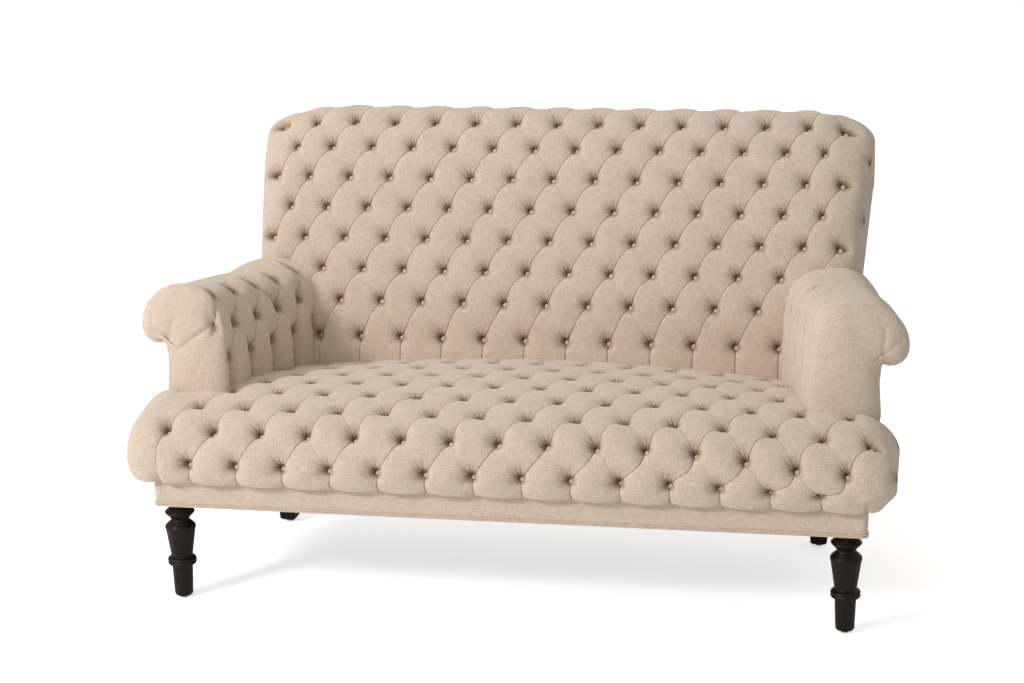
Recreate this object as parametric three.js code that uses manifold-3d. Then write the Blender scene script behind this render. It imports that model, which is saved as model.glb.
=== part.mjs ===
// A high-backed settee with a buttoned seat, back and arms, on turned front legs.
// Lengths are in millimetres and angles in degrees. x runs to the right of someone facing the settee,
// y runs back from the axis of the front legs, and z runs up from the floor.
// At the end the whole settee is moved along y so that its origin is under the middle of its outline.

import * as THREE from 'three';
import { mergeVertices } from 'three/addons/utils/BufferGeometryUtils.js';
import Module from 'manifold-3d';

const wasm = await Module();
wasm.setup();

// Fits
const gap = 0.3;
const overrun = 5;
const weldDistance = 0.001;

// Width. The front of the seat is the widest part below the arms, and the rest stands in from it.
// The back's side reaches past the middle of the arm where they meet
const seatWidth = 1830;
const seatOverhang = 68;
const armInset = 128;
const railTaper = 80;
const frontLegInset = 45;
const rearLegInset = 61;
const backSideReach = 60.6;
const scrollSpread = 33;
const postInset = 13;
const scrollCoreInset = 20;

// Depth, from the face of the front rail, which stands a little in front of the legs' axis
const frontRailFaceY = -38;
const baseDepth = 643;
const armSetback = 156;
const rearLegFootInset = 9;

// Legs, their bolts and glides
const legHeight = 243;
const rearLegRake = 9;
const legCollarRadius = 37;
const rearLegTopSide = 52;
const rearLegFootSide = 42;
const footChamfer = 6;
const glideHeight = 5;
const glideWidth = 18;
const nailRadius = 1.5;
const nailLength = 14;
const boltRadius = 4;
const boltLength = 70;
const boltDepthInLeg = 32;
const turningSegments = 20;
const roundSegments = 12;

// The turned outline of a front leg: shares of the collar's radius, and of the height of the turning
const legTurningShares = [
  [0.5, 0], [0.6, 0.02], [0.68, 0.332], [0.9, 0.342], [0.96, 0.365], [0.89, 0.379], [0.96, 0.393],
  [0.88, 0.413], [0.69, 0.425], [0.96, 0.71], [1, 0.727], [1.01, 0.75], [0.93, 0.768], [0.6, 0.815],
  [0.6, 0.832], [0.91, 0.884], [1, 0.902], [0.9, 0.918], [0.63, 0.955], [0.63, 1],
];

// Base frame
const railHeight = 90;
const railThickness = 30;
const stretcherWidth = 40;
const stretcherHeight = 55;
const stretcherSpacing = 560;
const cornerBlockReach = 125;
const borderThickness = 3;
const cornerChamfer = 9;
const weltRadius = 2.6;
const weltSides = 6;
const dustCoverThickness = 0.8;
const dustCoverInset = 12;
const dustCoverLegRoom = 20;

// Seat springs and deck
const springCount = 6;
const springSideRoom = 199.5;
const springWireRadius = 1.8;
const springWireSides = 4;
const springWidth = 52;
const springTurns = 14;
const springCrown = 36;
const springBearing = 18;
const deckThickness = 1.6;

// Back frame, raked
const backRake = 22.7;
const coverThickness = 3;
const postDepth = 60;
const postWidth = 32;
const lowerRailHeight = 60;
const lowerRailAlong = 157;
const topRailHeight = 90;
const backRailThickness = 28;
const slatWidth = 60;
const slatThickness = 20;
const slatSpacing = 500;
const scrollCoreRadius = 36;
const scrollCoreForward = 24;
const hessianThickness = 1.6;
const hessianInset = 20;

// Back upholstery: its tuft line, the side view of the line that the buttons are sewn to, starts
// in front of the base's back and above its rails, with runs of length and turn
const backStartInset = 27;
const backStartRise = 100.5;
const backStartHeading = 79.5;
const lumbarLength = 160;
const lumbarCurveLength = 60;
const lumbarAngle = 14;
const backFlatLength = 290;
const upperCurveLength = 150;
const upperAngle = 21;
const scrollRadius = 75;
const backLoft = 25;
const backEdgeReach = 100;
const scrollEdgeReach = 200;
const backEdgeDepth = 80;
const backButtonPitch = 108.8;
const backEndInset = 43.2;
const backCrowdedColumns = 2;
const backTopRowRise = 72;
const backRowRise = 82;
const backLowRowRise = 92;
const scrollTailRows = 5;

// Seat upholstery: its tuft line starts in front of the front rail, below the rails' top
const seatStartReach = 12;
const seatStartDrop = 26;
const seatStartHeading = 111.5;
const seatLipLength = 53;
const seatLipAngle = 26.5;
const seatNoseLength = 69.5;
const seatNoseAngle = 39;
const seatBrowLength = 80;
const seatBrowAngle = 32;
const seatEaseLength = 93;
const seatEaseAngle = 9;
const seatFlatLength = 364;
const seatFlatAngle = 13;
const seatShortfall = 11;
const seatButtonPitch = 115;
const seatEndInset = 64;
const seatCrowdedColumns = 1;
const seatRowRise = 91;
const seatEdgeReach = 90;
const seatEdgeDepth = 65;
const noseLoft = 38;
const seatLoft = 21;
const lipLoft = 16;
const seatSideSink = 55;

// Arms. Each runs back from its front at a flare angle, and its own frame has x out from its middle
const armFlare = 8;
const armWallX = -61;
const armWallHeight = 201;
const armWallCurveLength = 150;
const armWallAngle = 14.5;
const armSlopeLength = 29;
const armShoulderRadius = 39;
const armShoulderAngle = 63;
const armCrownRadius = 142;
const armCrownAngle = 32;
const armRollRadius = 85;
const armRollAngle = 78;
const armCurlRadius = 22.5;
const armCurlAngle = 111;
const armNeckReach = 36;
const armFootTaper = 24;
const armFootRise = 150;
const armLoft = 20;
const armFrontRadius = 30;
const armFirstButtonInset = 48;
const armButtonPitch = 110;
const armLowRowRise = 237;
const armRowRise = 83;
const armTailRows = 5;
const armCurlRows = 3;
const armBackDrop = 52;
const armWallSpread = 35;
const armStuffing = 70;
const armFrontStuffing = 40;
const armPostThickness = 32;
const armScrollBoardRadius = 40;
const armRailWidth = 34;
const armTopRailHeight = 36;
const armTopRailDrop = 60;
const tackRailHeight = 45;
const tackRailRise = 90;
const armCoreRadius = 22;

// How tufts rise between their buttons, as shares of the loft
const creaseShare = 0.42;
const pleatShare = 0.5;
const edgeColumns = 3;

// Places that follow from the sizes
const rad = THREE.MathUtils.degToRad;
const railBottom = legHeight;
const railTop = railBottom + railHeight;
const frontRailSpan = seatWidth - 2 * seatOverhang;
const rearRailSpan = frontRailSpan - 2 * railTaper;
const frontLegX = frontRailSpan / 2 - frontLegInset;
const rearLegX = rearRailSpan / 2 - rearLegInset;
const rearRailBackY = frontRailFaceY + baseDepth;
const rearLegFootY = rearRailBackY - rearLegFootInset;
const seatStartY = frontRailFaceY - seatStartReach;
const seatStartZ = railTop - seatStartDrop;
const armX = seatWidth / 2 - armInset;
const armFrontY = frontRailFaceY + armSetback;
const backStartY = rearRailBackY - backStartInset;
const backStartZ = railTop + backStartRise;

// The back stands between the arms, and is as wide as the arms' flare leaves it there
const armReach = (backStartY - armFrontY) / Math.cos(rad(armFlare));
const armBackX = armX - armReach * Math.sin(rad(armFlare));
const backWidth = 2 * (armBackX + backSideReach);
const scrollWidth = backWidth + 2 * scrollSpread;
const postSpan = backWidth - 2 * postInset;
const scrollCoreSpan = postSpan - 2 * scrollCoreInset;
const springPitch = (rearRailSpan - 2 * railThickness - 2 * springSideRoom) / (springCount - 1);

// Materials
const materials = {
  linen: { color: 0xd3c1ae, roughness: 0.92, metalness: 0 },
  ebonised: { color: 0x1e1a14, roughness: 0.35, metalness: 0 },
  beech: { color: 0xc9a678, roughness: 0.6, metalness: 0 },
  steel: { color: 0x9a9a98, roughness: 0.4, metalness: 1 },
  nickel: { color: 0x8f8c86, roughness: 0.35, metalness: 1 },
  hessian: { color: 0xa98f63, roughness: 0.95, metalness: 0 },
  cambric: { color: 0x1c1c1d, roughness: 0.95, metalness: 0 },
};

const settee = new THREE.Group();

function place(name, geometry, finish) {
  const mesh = new THREE.Mesh(geometry, new THREE.MeshStandardMaterial(materials[finish]));
  mesh.name = name;
  settee.add(mesh);
  return mesh;
}

// Solids of revolution, boards and closed skins

function revolve(outline, segments) {
  const points = outline.map(([radius, height]) => new THREE.Vector2(radius, height));
  return new THREE.LatheGeometry(points, segments).rotateX(Math.PI / 2);
}

function shapeOf(points) {
  return new THREE.Shape(points.map(([a, b]) => new THREE.Vector2(a, b)));
}

function roundPoints(a, b, radius, count) {
  return Array.from({ length: count }, (_, k) => {
    const angle = 2 * Math.PI * k / count;
    return new THREE.Vector2(a + radius * Math.cos(angle), b + radius * Math.sin(angle));
  });
}

// A board whose outline is drawn in plan, as (x, y)
function boardInPlan(shape, bottom, top) {
  const geometry = new THREE.ExtrudeGeometry(shape, {
    depth: top - bottom, bevelEnabled: false, curveSegments: roundSegments,
  });
  return geometry.translate(0, 0, bottom);
}

// A board whose outline is drawn from the side, as (y, z), between two values of x
function boardFromSide(points, left, right) {
  const geometry = new THREE.ExtrudeGeometry(shapeOf(points), { depth: right - left, bevelEnabled: false });
  const turn = new THREE.Matrix4().makeBasis(
    new THREE.Vector3(0, 1, 0), new THREE.Vector3(0, 0, 1), new THREE.Vector3(1, 0, 0),
  );
  return geometry.applyMatrix4(turn).translate(left, 0, 0);
}

function triangulateRing(ring) {
  const normal = new THREE.Vector3();
  ring.forEach((point, k) => {
    const next = ring[(k + 1) % ring.length];
    normal.add(new THREE.Vector3().crossVectors(point, next));
  });
  normal.normalize();
  const lie = new THREE.Quaternion().setFromUnitVectors(normal, new THREE.Vector3(0, 0, 1));
  const flat = ring.map((point) => {
    const laid = point.clone().applyQuaternion(lie);
    return new THREE.Vector2(laid.x, laid.y);
  });
  return THREE.ShapeUtils.triangulateShape(flat, []);
}

function signedVolume(triangles) {
  let sum = 0;
  for (const [a, b, c] of triangles) {
    sum += a.dot(new THREE.Vector3().crossVectors(b, c));
  }
  return sum / 6;
}

// A closed solid through rings of points, with as many points in each. Where heart(i, k) gives a point,
// the facet between rings i and i + 1 and points k and k + 1 is four triangles that meet there.
function skinRings(rings, heart = () => null) {
  const triangles = [];
  const count = rings[0].length;
  for (let i = 0; i < rings.length - 1; i += 1) {
    for (let k = 0; k < count; k += 1) {
      const corners = [
        rings[i][k], rings[i + 1][k], rings[i + 1][(k + 1) % count], rings[i][(k + 1) % count],
      ];
      const middle = heart(i, k);
      if (middle) {
        corners.forEach((corner, n) => triangles.push([corner, corners[(n + 1) % 4], middle]));
      } else {
        triangles.push([corners[0], corners[1], corners[2]], [corners[0], corners[2], corners[3]]);
      }
    }
  }
  const first = rings[0];
  const last = rings[rings.length - 1];
  const ends = triangulateRing(first);
  ends.forEach(([a, b, c]) => triangles.push([first[a], first[b], first[c]]));
  triangulateRing(last).forEach(([a, b, c]) => triangles.push([last[c], last[b], last[a]]));
  if (signedVolume(triangles) < 0) {
    triangles.forEach((triangle) => triangle.reverse());
  }
  const positions = triangles.flat().flatMap((point) => [point.x, point.y, point.z]);
  const attribute = new THREE.Float32BufferAttribute(positions, 3);
  return new THREE.BufferGeometry().setAttribute('position', attribute);
}

// Cuts and joins

function solidOf(geometry) {
  const bare = new THREE.BufferGeometry();
  const loose = geometry.index ? geometry.toNonIndexed() : geometry;
  bare.setAttribute('position', loose.getAttribute('position').clone());
  const merged = mergeVertices(bare, weldDistance);
  return new wasm.Manifold(new wasm.Mesh({
    numProp: 3,
    vertProperties: merged.attributes.position.array,
    triVerts: new Uint32Array(merged.index.array),
  }));
}

function geometryOf(solid) {
  const mesh = solid.getMesh();
  const geometry = new THREE.BufferGeometry();
  geometry.setAttribute('position', new THREE.BufferAttribute(new Float32Array(mesh.vertProperties), 3));
  geometry.setIndex(new THREE.BufferAttribute(new Uint32Array(mesh.triVerts), 1));
  return geometry;
}

function cut(geometry, ...tools) {
  return geometryOf(tools.reduce((solid, tool) => solid.subtract(solidOf(tool)), solidOf(geometry)));
}

function join(...pieces) {
  return geometryOf(pieces.map(solidOf).reduce((whole, piece) => whole.add(piece)));
}

// A line in side view that starts at (a, b) with a heading and follows runs of [length, turn].
// It returns a function from the length along it to the point there and the direction to its left.
function bentLine(a, b, heading, runs) {
  return (along) => {
    let [x, y, angle, left] = [a, b, rad(heading), along];
    for (const [length, turn] of runs) {
      const step = Math.min(left, length);
      const bend = -rad(turn) * (step / length);
      const chord = bend === 0 ? step : step * Math.sin(bend / 2) / (bend / 2);
      x += chord * Math.cos(angle + bend / 2);
      y += chord * Math.sin(angle + bend / 2);
      angle += bend;
      left -= step;
      if (left <= 0) {
        break;
      }
    }
    return { at: [x, y], out: [-Math.sin(angle), Math.cos(angle)] };
  };
}

function arcLength(radius, turn) {
  return radius * rad(turn);
}

function lengthOf(runs) {
  return runs.reduce((sum, [length]) => sum + length, 0);
}

// The rise of row `row` at column `column` of a tufted sheet, as a share of the loft. A row is
// { along, loft, parity } with buttons where column and parity agree, { pleat } with valleys there
// instead, or { smooth }.
function tuftShare(row, column) {
  if (row.smooth || (column + row.parity) % 2 !== 0) {
    return 1;
  }
  return row.pleat ? pleatShare : 0;
}

// Places on the raked back frame: `along` up its outside face, `inside` forward from that face
const rakeSin = Math.sin(rad(backRake));
const rakeCos = Math.cos(rad(backRake));
const backFaceY = rearRailBackY + gap + coverThickness;
const frameInside = coverThickness + gap;
const frameFront = frameInside + postDepth;
const hessianFront = frameFront + gap + hessianThickness;

function rakedPoint(along, inside) {
  return [
    backFaceY + along * rakeSin - inside * rakeCos,
    railTop + along * rakeCos + inside * rakeSin,
  ];
}

function rakedY(inside, z) {
  return backFaceY + (z - railTop) * rakeSin / rakeCos - inside / rakeCos;
}

function rakedBoard([low, high], [back, front], left, right) {
  return boardFromSide([
    rakedPoint(low, front), rakedPoint(low, back), rakedPoint(high, back), rakedPoint(high, front),
  ], left, right);
}

function alongRake([y, z]) {
  return (y - backFaceY) * rakeSin + (z - railTop) * rakeCos;
}

function insideRake([y, z]) {
  return (z - railTop) * rakeSin - (y - backFaceY) * rakeCos;
}

// The tuft lines

function centreOfBend({ at, out }, radius) {
  return [at[0] - out[0] * radius, at[1] - out[1] * radius];
}

const backRuns = [
  [lumbarLength, 0], [lumbarCurveLength, lumbarAngle], [backFlatLength, 0], [upperCurveLength, upperAngle],
];
const upperCurveStart = lumbarLength + lumbarCurveLength + backFlatLength;
const scrollStart = upperCurveStart + upperCurveLength;
const scrollFoot = bentLine(backStartY, backStartZ, backStartHeading, backRuns)(scrollStart);
const scrollCentre = centreOfBend(scrollFoot, scrollRadius);
const scrollAlong = alongRake(scrollCentre);
const scrollInside = insideRake(scrollCentre);
const postTop = scrollAlong - scrollCoreRadius - gap;
const postX = postSpan / 2;

// The scroll turns until its skin meets the back frame
const scrollMeeting = Math.asin((frameInside - scrollInside) / (scrollRadius + backLoft));
const scrollStartHeading = backStartHeading - lumbarAngle - upperAngle;
const scrollTurn = scrollStartHeading + 180 + backRake + THREE.MathUtils.radToDeg(scrollMeeting);
const scrollRun = [arcLength(scrollRadius, scrollTurn), scrollTurn];
const scrollEnd = scrollStart + scrollRun[0];
const backLine = bentLine(backStartY, backStartZ, backStartHeading, [...backRuns, scrollRun]);

// The seat ends in a straight tail, as long as it takes to come near the line of the back
const seatRuns = [
  [seatLipLength, seatLipAngle], [seatNoseLength, seatNoseAngle], [seatBrowLength, seatBrowAngle],
  [seatEaseLength, seatEaseAngle], [seatFlatLength, seatFlatAngle],
];
const seatTailStart = lengthOf(seatRuns);
const seatTailFoot = bentLine(seatStartY, seatStartZ, seatStartHeading, seatRuns)(seatTailStart);
const seatTailLength = (backStartY - seatShortfall - seatTailFoot.at[0]) / seatTailFoot.out[1];
const seatLine = bentLine(seatStartY, seatStartZ, seatStartHeading, [...seatRuns, [seatTailLength, 0]]);
const seatLength = seatTailStart + seatTailLength;

const armBottom = railTop + gap;
const armRuns = [
  [armWallHeight, 0], [armWallCurveLength, armWallAngle], [armSlopeLength, 0],
  [arcLength(armShoulderRadius, armShoulderAngle), armShoulderAngle],
  [arcLength(armCrownRadius, armCrownAngle), armCrownAngle],
  [arcLength(armRollRadius, armRollAngle), armRollAngle],
  [arcLength(armCurlRadius, armCurlAngle), armCurlAngle],
];
const armLine = bentLine(armWallX, armBottom, 90, armRuns);
const armLength = lengthOf(armRuns);
const curlStart = armLength - arcLength(armCurlRadius, armCurlAngle);
const rollStart = curlStart - arcLength(armRollRadius, armRollAngle);
const rollCentre = centreOfBend(armLine(rollStart), armRollRadius);
const crownCentre = centreOfBend(armLine(rollStart), armCrownRadius);
const armTop = crownCentre[1] + armCrownRadius + armLoft;
const armOuterX = rollCentre[0] + armNeckReach;
const armFootX = armOuterX - armFootTaper;
const armWaist = armBottom + armFootRise;
const armFarY = (rakedY(-backLoft, armTop) - armFrontY) / Math.cos(rad(armFlare));
const armColumns = Math.ceil((armReach - armFirstButtonInset) / (armButtonPitch / 2));

// Places in the base: half its width at a depth y, inside its sides by `inset`
const baseTaper = (frontRailSpan - rearRailSpan) / 2 / (rearRailBackY - frontRailFaceY);
const taperStretch = Math.hypot(1, baseTaper);

function baseX(y, inset = 0) {
  return frontRailSpan / 2 - (y - frontRailFaceY) * baseTaper - inset * taperStretch;
}

// The outside of the base in plan, from its rear left corner round the front, moved out by `out`
function baseOutline(out, rearY) {
  const faceY = frontRailFaceY - out;
  const chamfer = cornerChamfer;
  const right = [[baseX(faceY, -out) - chamfer, faceY], [baseX(faceY + chamfer, -out), faceY + chamfer]];
  right.push([baseX(rearY, -out), rearY]);
  const left = right.map(([x, y]) => [-x, y]).reverse();
  return [...left, ...right];
}

// Legs, glides and bolts

function frontLegGeometry() {
  const bottom = glideHeight + gap;
  const top = legHeight - gap;
  const boltHole = boltRadius + gap;
  const boltBottom = top - boltDepthInLeg - gap;
  const nailHole = nailRadius + gap;
  const nailTop = bottom + nailLength + gap;
  const turned = legTurningShares.map(
    ([radius, height]) => [radius * legCollarRadius, bottom + height * (top - bottom)],
  );
  return revolve([
    [0, nailTop], [nailHole, nailTop], [nailHole, bottom],
    ...turned,
    [boltHole, top], [boltHole, boltBottom], [0, boltBottom],
  ], turningSegments);
}

function squareRing(side, middleY, z) {
  const half = side / 2;
  return [[-half, -half], [half, -half], [half, half], [-half, half]].map(
    ([x, y]) => new THREE.Vector3(x, middleY + y, z),
  );
}

function hole(radius, bottom, top) {
  const drill = new THREE.CylinderGeometry(radius, radius, top - bottom, roundSegments);
  return drill.rotateX(Math.PI / 2).translate(0, 0, (top + bottom) / 2);
}

const rearLegLean = (legHeight - glideHeight) * Math.tan(rad(rearLegRake));

function rearLegGeometry() {
  const bottom = glideHeight + gap;
  const top = legHeight - gap;
  const post = skinRings([
    squareRing(rearLegFootSide - 2 * footChamfer, 0, bottom),
    squareRing(rearLegFootSide, 0, bottom + footChamfer),
    squareRing(rearLegTopSide, -rearLegLean, top),
  ]);
  const boltHole = hole(boltRadius + gap, top - boltDepthInLeg - gap, top + overrun);
  const nailHole = hole(nailRadius + gap, bottom - overrun, bottom + nailLength + gap);
  return cut(post, boltHole.translate(0, -rearLegLean, 0), nailHole);
}

function glideGeometry() {
  return revolve([
    [0, 0], [glideWidth / 2, 0], [glideWidth / 2, glideHeight], [nailRadius, glideHeight],
    [nailRadius, glideHeight + nailLength], [0, glideHeight + nailLength],
  ], roundSegments);
}

function makeLegs() {
  for (const [side, sign] of [['left', -1], ['right', 1]]) {
    const corners = [
      ['front', sign * frontLegX, 0, 0, frontLegGeometry],
      ['rear', sign * rearLegX, rearLegFootY, -rearLegLean, rearLegGeometry],
    ];
    for (const [end, x, y, boltShift, legGeometry] of corners) {
      place(`${end}_leg_${side}`, legGeometry(), 'ebonised').position.set(x, y, 0);
      place(`${end}_glide_${side}`, glideGeometry(), 'nickel').position.set(x, y, 0);
      const bolt = new THREE.CylinderGeometry(boltRadius, boltRadius, boltLength, roundSegments);
      bolt.rotateX(Math.PI / 2).translate(0, 0, legHeight - gap - boltDepthInLeg + boltLength / 2);
      place(`${end}_leg_bolt_${side}`, bolt, 'steel').position.set(x, y + boltShift, 0);
    }
  }
}

// Base frame

const frontRailBackY = frontRailFaceY + railThickness;
const rearRailFrontY = rearRailBackY - railThickness;

function mirrorPlan(points) {
  return points.map(([x, y]) => [-x, y]);
}

function cornerBlock(cornerY, towards, boltX, boltY) {
  const inset = railThickness + gap;
  const farY = cornerY + towards * cornerBlockReach;
  const shape = shapeOf([
    [baseX(cornerY, inset), cornerY], [baseX(farY, inset), farY],
    [baseX(cornerY, inset) - cornerBlockReach, cornerY],
  ]);
  shape.holes.push(new THREE.Path(roundPoints(boltX, boltY, boltRadius + gap, roundSegments)));
  return shape;
}

function makeBase() {
  const frontOutline = baseOutline(0, frontRailBackY);
  place('front_rail', boardInPlan(shapeOf(frontOutline), railBottom, railTop), 'beech');
  const rearHalf = [[baseX(rearRailFrontY), rearRailFrontY], [baseX(rearRailBackY), rearRailBackY]];
  const rearOutline = [...rearHalf, ...mirrorPlan(rearHalf).reverse()];
  place('rear_rail', boardInPlan(shapeOf(rearOutline), railBottom, railTop), 'beech');
  const [nearY, farY] = [frontRailBackY + gap, rearRailFrontY - gap];
  const sideRail = [
    [baseX(nearY), nearY], [baseX(farY), farY],
    [baseX(farY, railThickness), farY], [baseX(nearY, railThickness), nearY],
  ];
  const blockTop = railBottom + stretcherHeight;
  for (const [side, sign] of [['left', -1], ['right', 1]]) {
    const outline = sign > 0 ? sideRail : mirrorPlan(sideRail);
    place(`side_rail_${side}`, boardInPlan(shapeOf(outline), railBottom, railTop), 'beech');
    const blocks = [
      ['front', cornerBlock(nearY, 1, frontLegX, 0)],
      ['rear', cornerBlock(farY, -1, rearLegX, rearLegFootY - rearLegLean)],
    ];
    for (const [end, shape] of blocks) {
      const block = place(`${end}_corner_block_${side}`, boardInPlan(shape, railBottom, blockTop), 'beech');
      if (sign < 0) {
        block.geometry = mirrored(block.geometry);
      }
    }
    const middle = sign * stretcherSpacing / 2;
    const stretcher = new THREE.BoxGeometry(stretcherWidth, farY - nearY, stretcherHeight);
    stretcher.translate(middle, (farY + nearY) / 2, railBottom + stretcherHeight / 2);
    place(`seat_stretcher_${side}`, stretcher, 'beech');
  }
}

function mirrored(geometry) {
  const loose = geometry.index ? geometry.toNonIndexed() : geometry.clone();
  const points = loose.getAttribute('position').array;
  const flipped = [];
  for (let i = 0; i < points.length; i += 9) {
    for (const corner of [0, 6, 3]) {
      flipped.push(-points[i + corner], points[i + corner + 1], points[i + corner + 2]);
    }
  }
  return new THREE.BufferGeometry().setAttribute('position', new THREE.Float32BufferAttribute(flipped, 3));
}

// Seat springs and deck

const springFrontY = frontRailBackY - springBearing;
const springBackY = rearRailFrontY + springBearing;

function springRise(y) {
  const share = (y - frontRailBackY) / (rearRailFrontY - frontRailBackY);
  return Math.max(0, 4 * springCrown * share * (1 - share));
}

// A wire swept along points that stay nearly level, with `sides` flats
function sweepWire(points, radius, sides) {
  const up = new THREE.Vector3(0, 0, 1);
  const rings = points.map((point, i) => {
    const before = points[Math.max(i - 1, 0)];
    const after = points[Math.min(i + 1, points.length - 1)];
    const into = point.clone().sub(before).normalize();
    const outOf = after.clone().sub(point).normalize();
    const run = into.clone().add(outOf).normalize();
    const side = new THREE.Vector3().crossVectors(run, up).normalize();
    const mitre = i > 0 && i < points.length - 1 ? 1 / into.dot(run) : 1;
    return Array.from({ length: sides }, (_, k) => {
      const angle = 2 * Math.PI * (k + 0.5) / sides;
      return point.clone()
        .addScaledVector(side, radius * mitre * Math.cos(angle))
        .addScaledVector(up, radius * Math.sin(angle));
    });
  });
  return skinRings(rings);
}

function springGeometry(x) {
  const halfWidth = springWidth / 2 - springWireRadius;
  const points = [];
  for (let turn = 0; turn <= springTurns; turn += 1) {
    const y = springFrontY + (springBackY - springFrontY) * turn / springTurns;
    const z = railTop + gap + springWireRadius + springRise(y);
    const side = turn % 2 === 0 ? -1 : 1;
    points.push(new THREE.Vector3(x + side * halfWidth, y, z));
    points.push(new THREE.Vector3(x - side * halfWidth, y, z));
  }
  return sweepWire(points, springWireRadius, springWireSides);
}

const deckRise = 2 * springWireRadius + 2 * gap;
const deckHalf = springPitch * (springCount - 1) / 2 + springWidth;

// The deck's underside follows the springs; the same line, higher, bounds the hollow under the seat
function crownLine(lift, reach) {
  const steps = springTurns;
  const [nearY, farY] = [springFrontY - reach, springBackY + reach];
  return Array.from({ length: steps + 1 }, (_, i) => {
    const y = nearY + (farY - nearY) * i / steps;
    return [y, railTop + lift + springRise(y)];
  });
}

function makeSprings() {
  for (let i = 0; i < springCount; i += 1) {
    const x = (i - (springCount - 1) / 2) * springPitch;
    place(`seat_spring_${i + 1}`, springGeometry(x), 'steel');
  }
  const reach = springWireRadius;
  const under = crownLine(deckRise, reach);
  const over = crownLine(deckRise + deckThickness, reach).reverse();
  place('seat_deck', boardFromSide([...under, ...over], -deckHalf, deckHalf), 'hessian');
}

// Back frame

function makeBackFrame() {
  const innerX = postX - postWidth;
  const postFoot = railTop + gap;
  for (const [side, sign] of [['left', -1], ['right', 1]]) {
    const post = boardFromSide([
      [rakedY(frameFront, postFoot), postFoot], [rakedY(frameInside, postFoot), postFoot],
      rakedPoint(postTop, frameInside), rakedPoint(postTop, frameFront),
    ], innerX, postX);
    place(`back_post_${side}`, sign > 0 ? post : mirrored(post), 'beech');
    const slatX = sign * slatSpacing / 2;
    const slat = rakedBoard(
      [lowerRailAlong + lowerRailHeight + gap, postTop - topRailHeight - gap],
      [frameFront - slatThickness, frameFront], slatX - slatWidth / 2, slatX + slatWidth / 2,
    );
    place(`back_slat_${side}`, slat, 'beech');
  }
  const railDepth = [frameFront - backRailThickness, frameFront];
  const railX = innerX - gap;
  const lowRail = rakedBoard([lowerRailAlong, lowerRailAlong + lowerRailHeight], railDepth, -railX, railX);
  place('back_lower_rail', lowRail, 'beech');
  const topRail = rakedBoard([postTop - topRailHeight, postTop], railDepth, -railX, railX);
  place('back_top_rail', topRail, 'beech');
  const sheetX = railX - hessianInset;
  const sheet = rakedBoard(
    [lowerRailAlong, postTop], [frameFront + gap, hessianFront], -sheetX, sheetX,
  );
  place('back_hessian', sheet, 'hessian');
  place('scroll_core', scrollCore(0), 'beech');
}

function scrollCore(clearance) {
  const radius = scrollCoreRadius + clearance;
  const [y, z] = rakedPoint(scrollAlong, scrollInside + scrollCoreForward);
  const core = new THREE.CylinderGeometry(radius, radius, scrollCoreSpan + 2 * clearance, turningSegments);
  return core.rotateZ(Math.PI / 2).translate(0, y, z);
}

// Upholstery

// A crease crosses the middle of a facet with a button at one end of each diagonal pair
function isCreased(row, nextRow, column, lastColumn) {
  return Math.abs(column) < lastColumn && !row.smooth && !nextRow.smooth && !row.pleat && !nextRow.pleat;
}

// Back pad

function backRowsList() {
  const alongs = [scrollStart, scrollStart - backTopRowRise];
  while (alongs[alongs.length - 1] >= 2 * backLowRowRise) {
    alongs.push(alongs[alongs.length - 1] - backRowRise);
  }
  alongs.push(alongs[alongs.length - 1] - backLowRowRise);
  const rows = alongs.map((along, k) => ({ along, parity: k % 2 })).reverse();
  rows.unshift({ along: 0, pleat: true, parity: rows[0].parity });
  rows.push({ along: scrollStart + backRowRise, parity: 1 });
  const tail = (scrollEnd - scrollStart - backRowRise) / scrollTailRows;
  for (let k = 1; k < scrollTailRows; k += 1) {
    rows.push({ along: scrollStart + backRowRise + k * tail, pleat: true, parity: 1 });
  }
  rows.push({ along: scrollEnd, smooth: true });
  return rows;
}

function shareOf(value, low, high) {
  return THREE.MathUtils.clamp((value - low) / (high - low), 0, 1);
}

function backHalfWidth(along) {
  return (backWidth + (scrollWidth - backWidth) * shareOf(along, 0, scrollStart)) / 2;
}

function backReach(along) {
  return backEdgeReach + (scrollEdgeReach - backEdgeReach) * shareOf(along, upperCurveStart, scrollStart);
}

// Where the columns stand: half a pitch apart, closer past the last plain one, then in equal turns
// round the edge, which starts to draw in `reach` before the half width
function columnX(column, { pitch, plain, share, last }, halfWidth, reach) {
  const size = Math.abs(column);
  const tufted = Math.min(size, last);
  const x = (Math.min(tufted, plain) + share * Math.max(tufted - plain, 0)) * pitch / 2;
  if (size <= last) {
    return Math.sign(column) * x;
  }
  const start = Math.asin(shareOf(x, halfWidth - reach, halfWidth));
  const turn = start + (Math.PI / 2 - start) * (size - last) / edgeColumns;
  return Math.sign(column) * (halfWidth - reach * (1 - Math.sin(turn)));
}

function edgeInset(x, halfWidth, reach, depth) {
  const share = shareOf(Math.abs(x), halfWidth - reach, halfWidth);
  return depth * (1 - Math.sqrt(1 - share ** 2));
}

// As many columns each side of the middle as come within `endInset` of the side, where the outermost
// `crowded` ones share what is left
function columnsWithin(halfWidth, pitch, endInset, crowded) {
  const steps = (halfWidth - endInset) / (pitch / 2);
  const last = Math.ceil(steps);
  return { pitch, plain: last - crowded, share: (steps - last + crowded) / crowded, last };
}

const backColumns = columnsWithin(backWidth / 2, backButtonPitch, backEndInset, backCrowdedColumns);
const seatColumns = columnsWithin(seatWidth / 2, seatButtonPitch, seatEndInset, seatCrowdedColumns);

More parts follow.
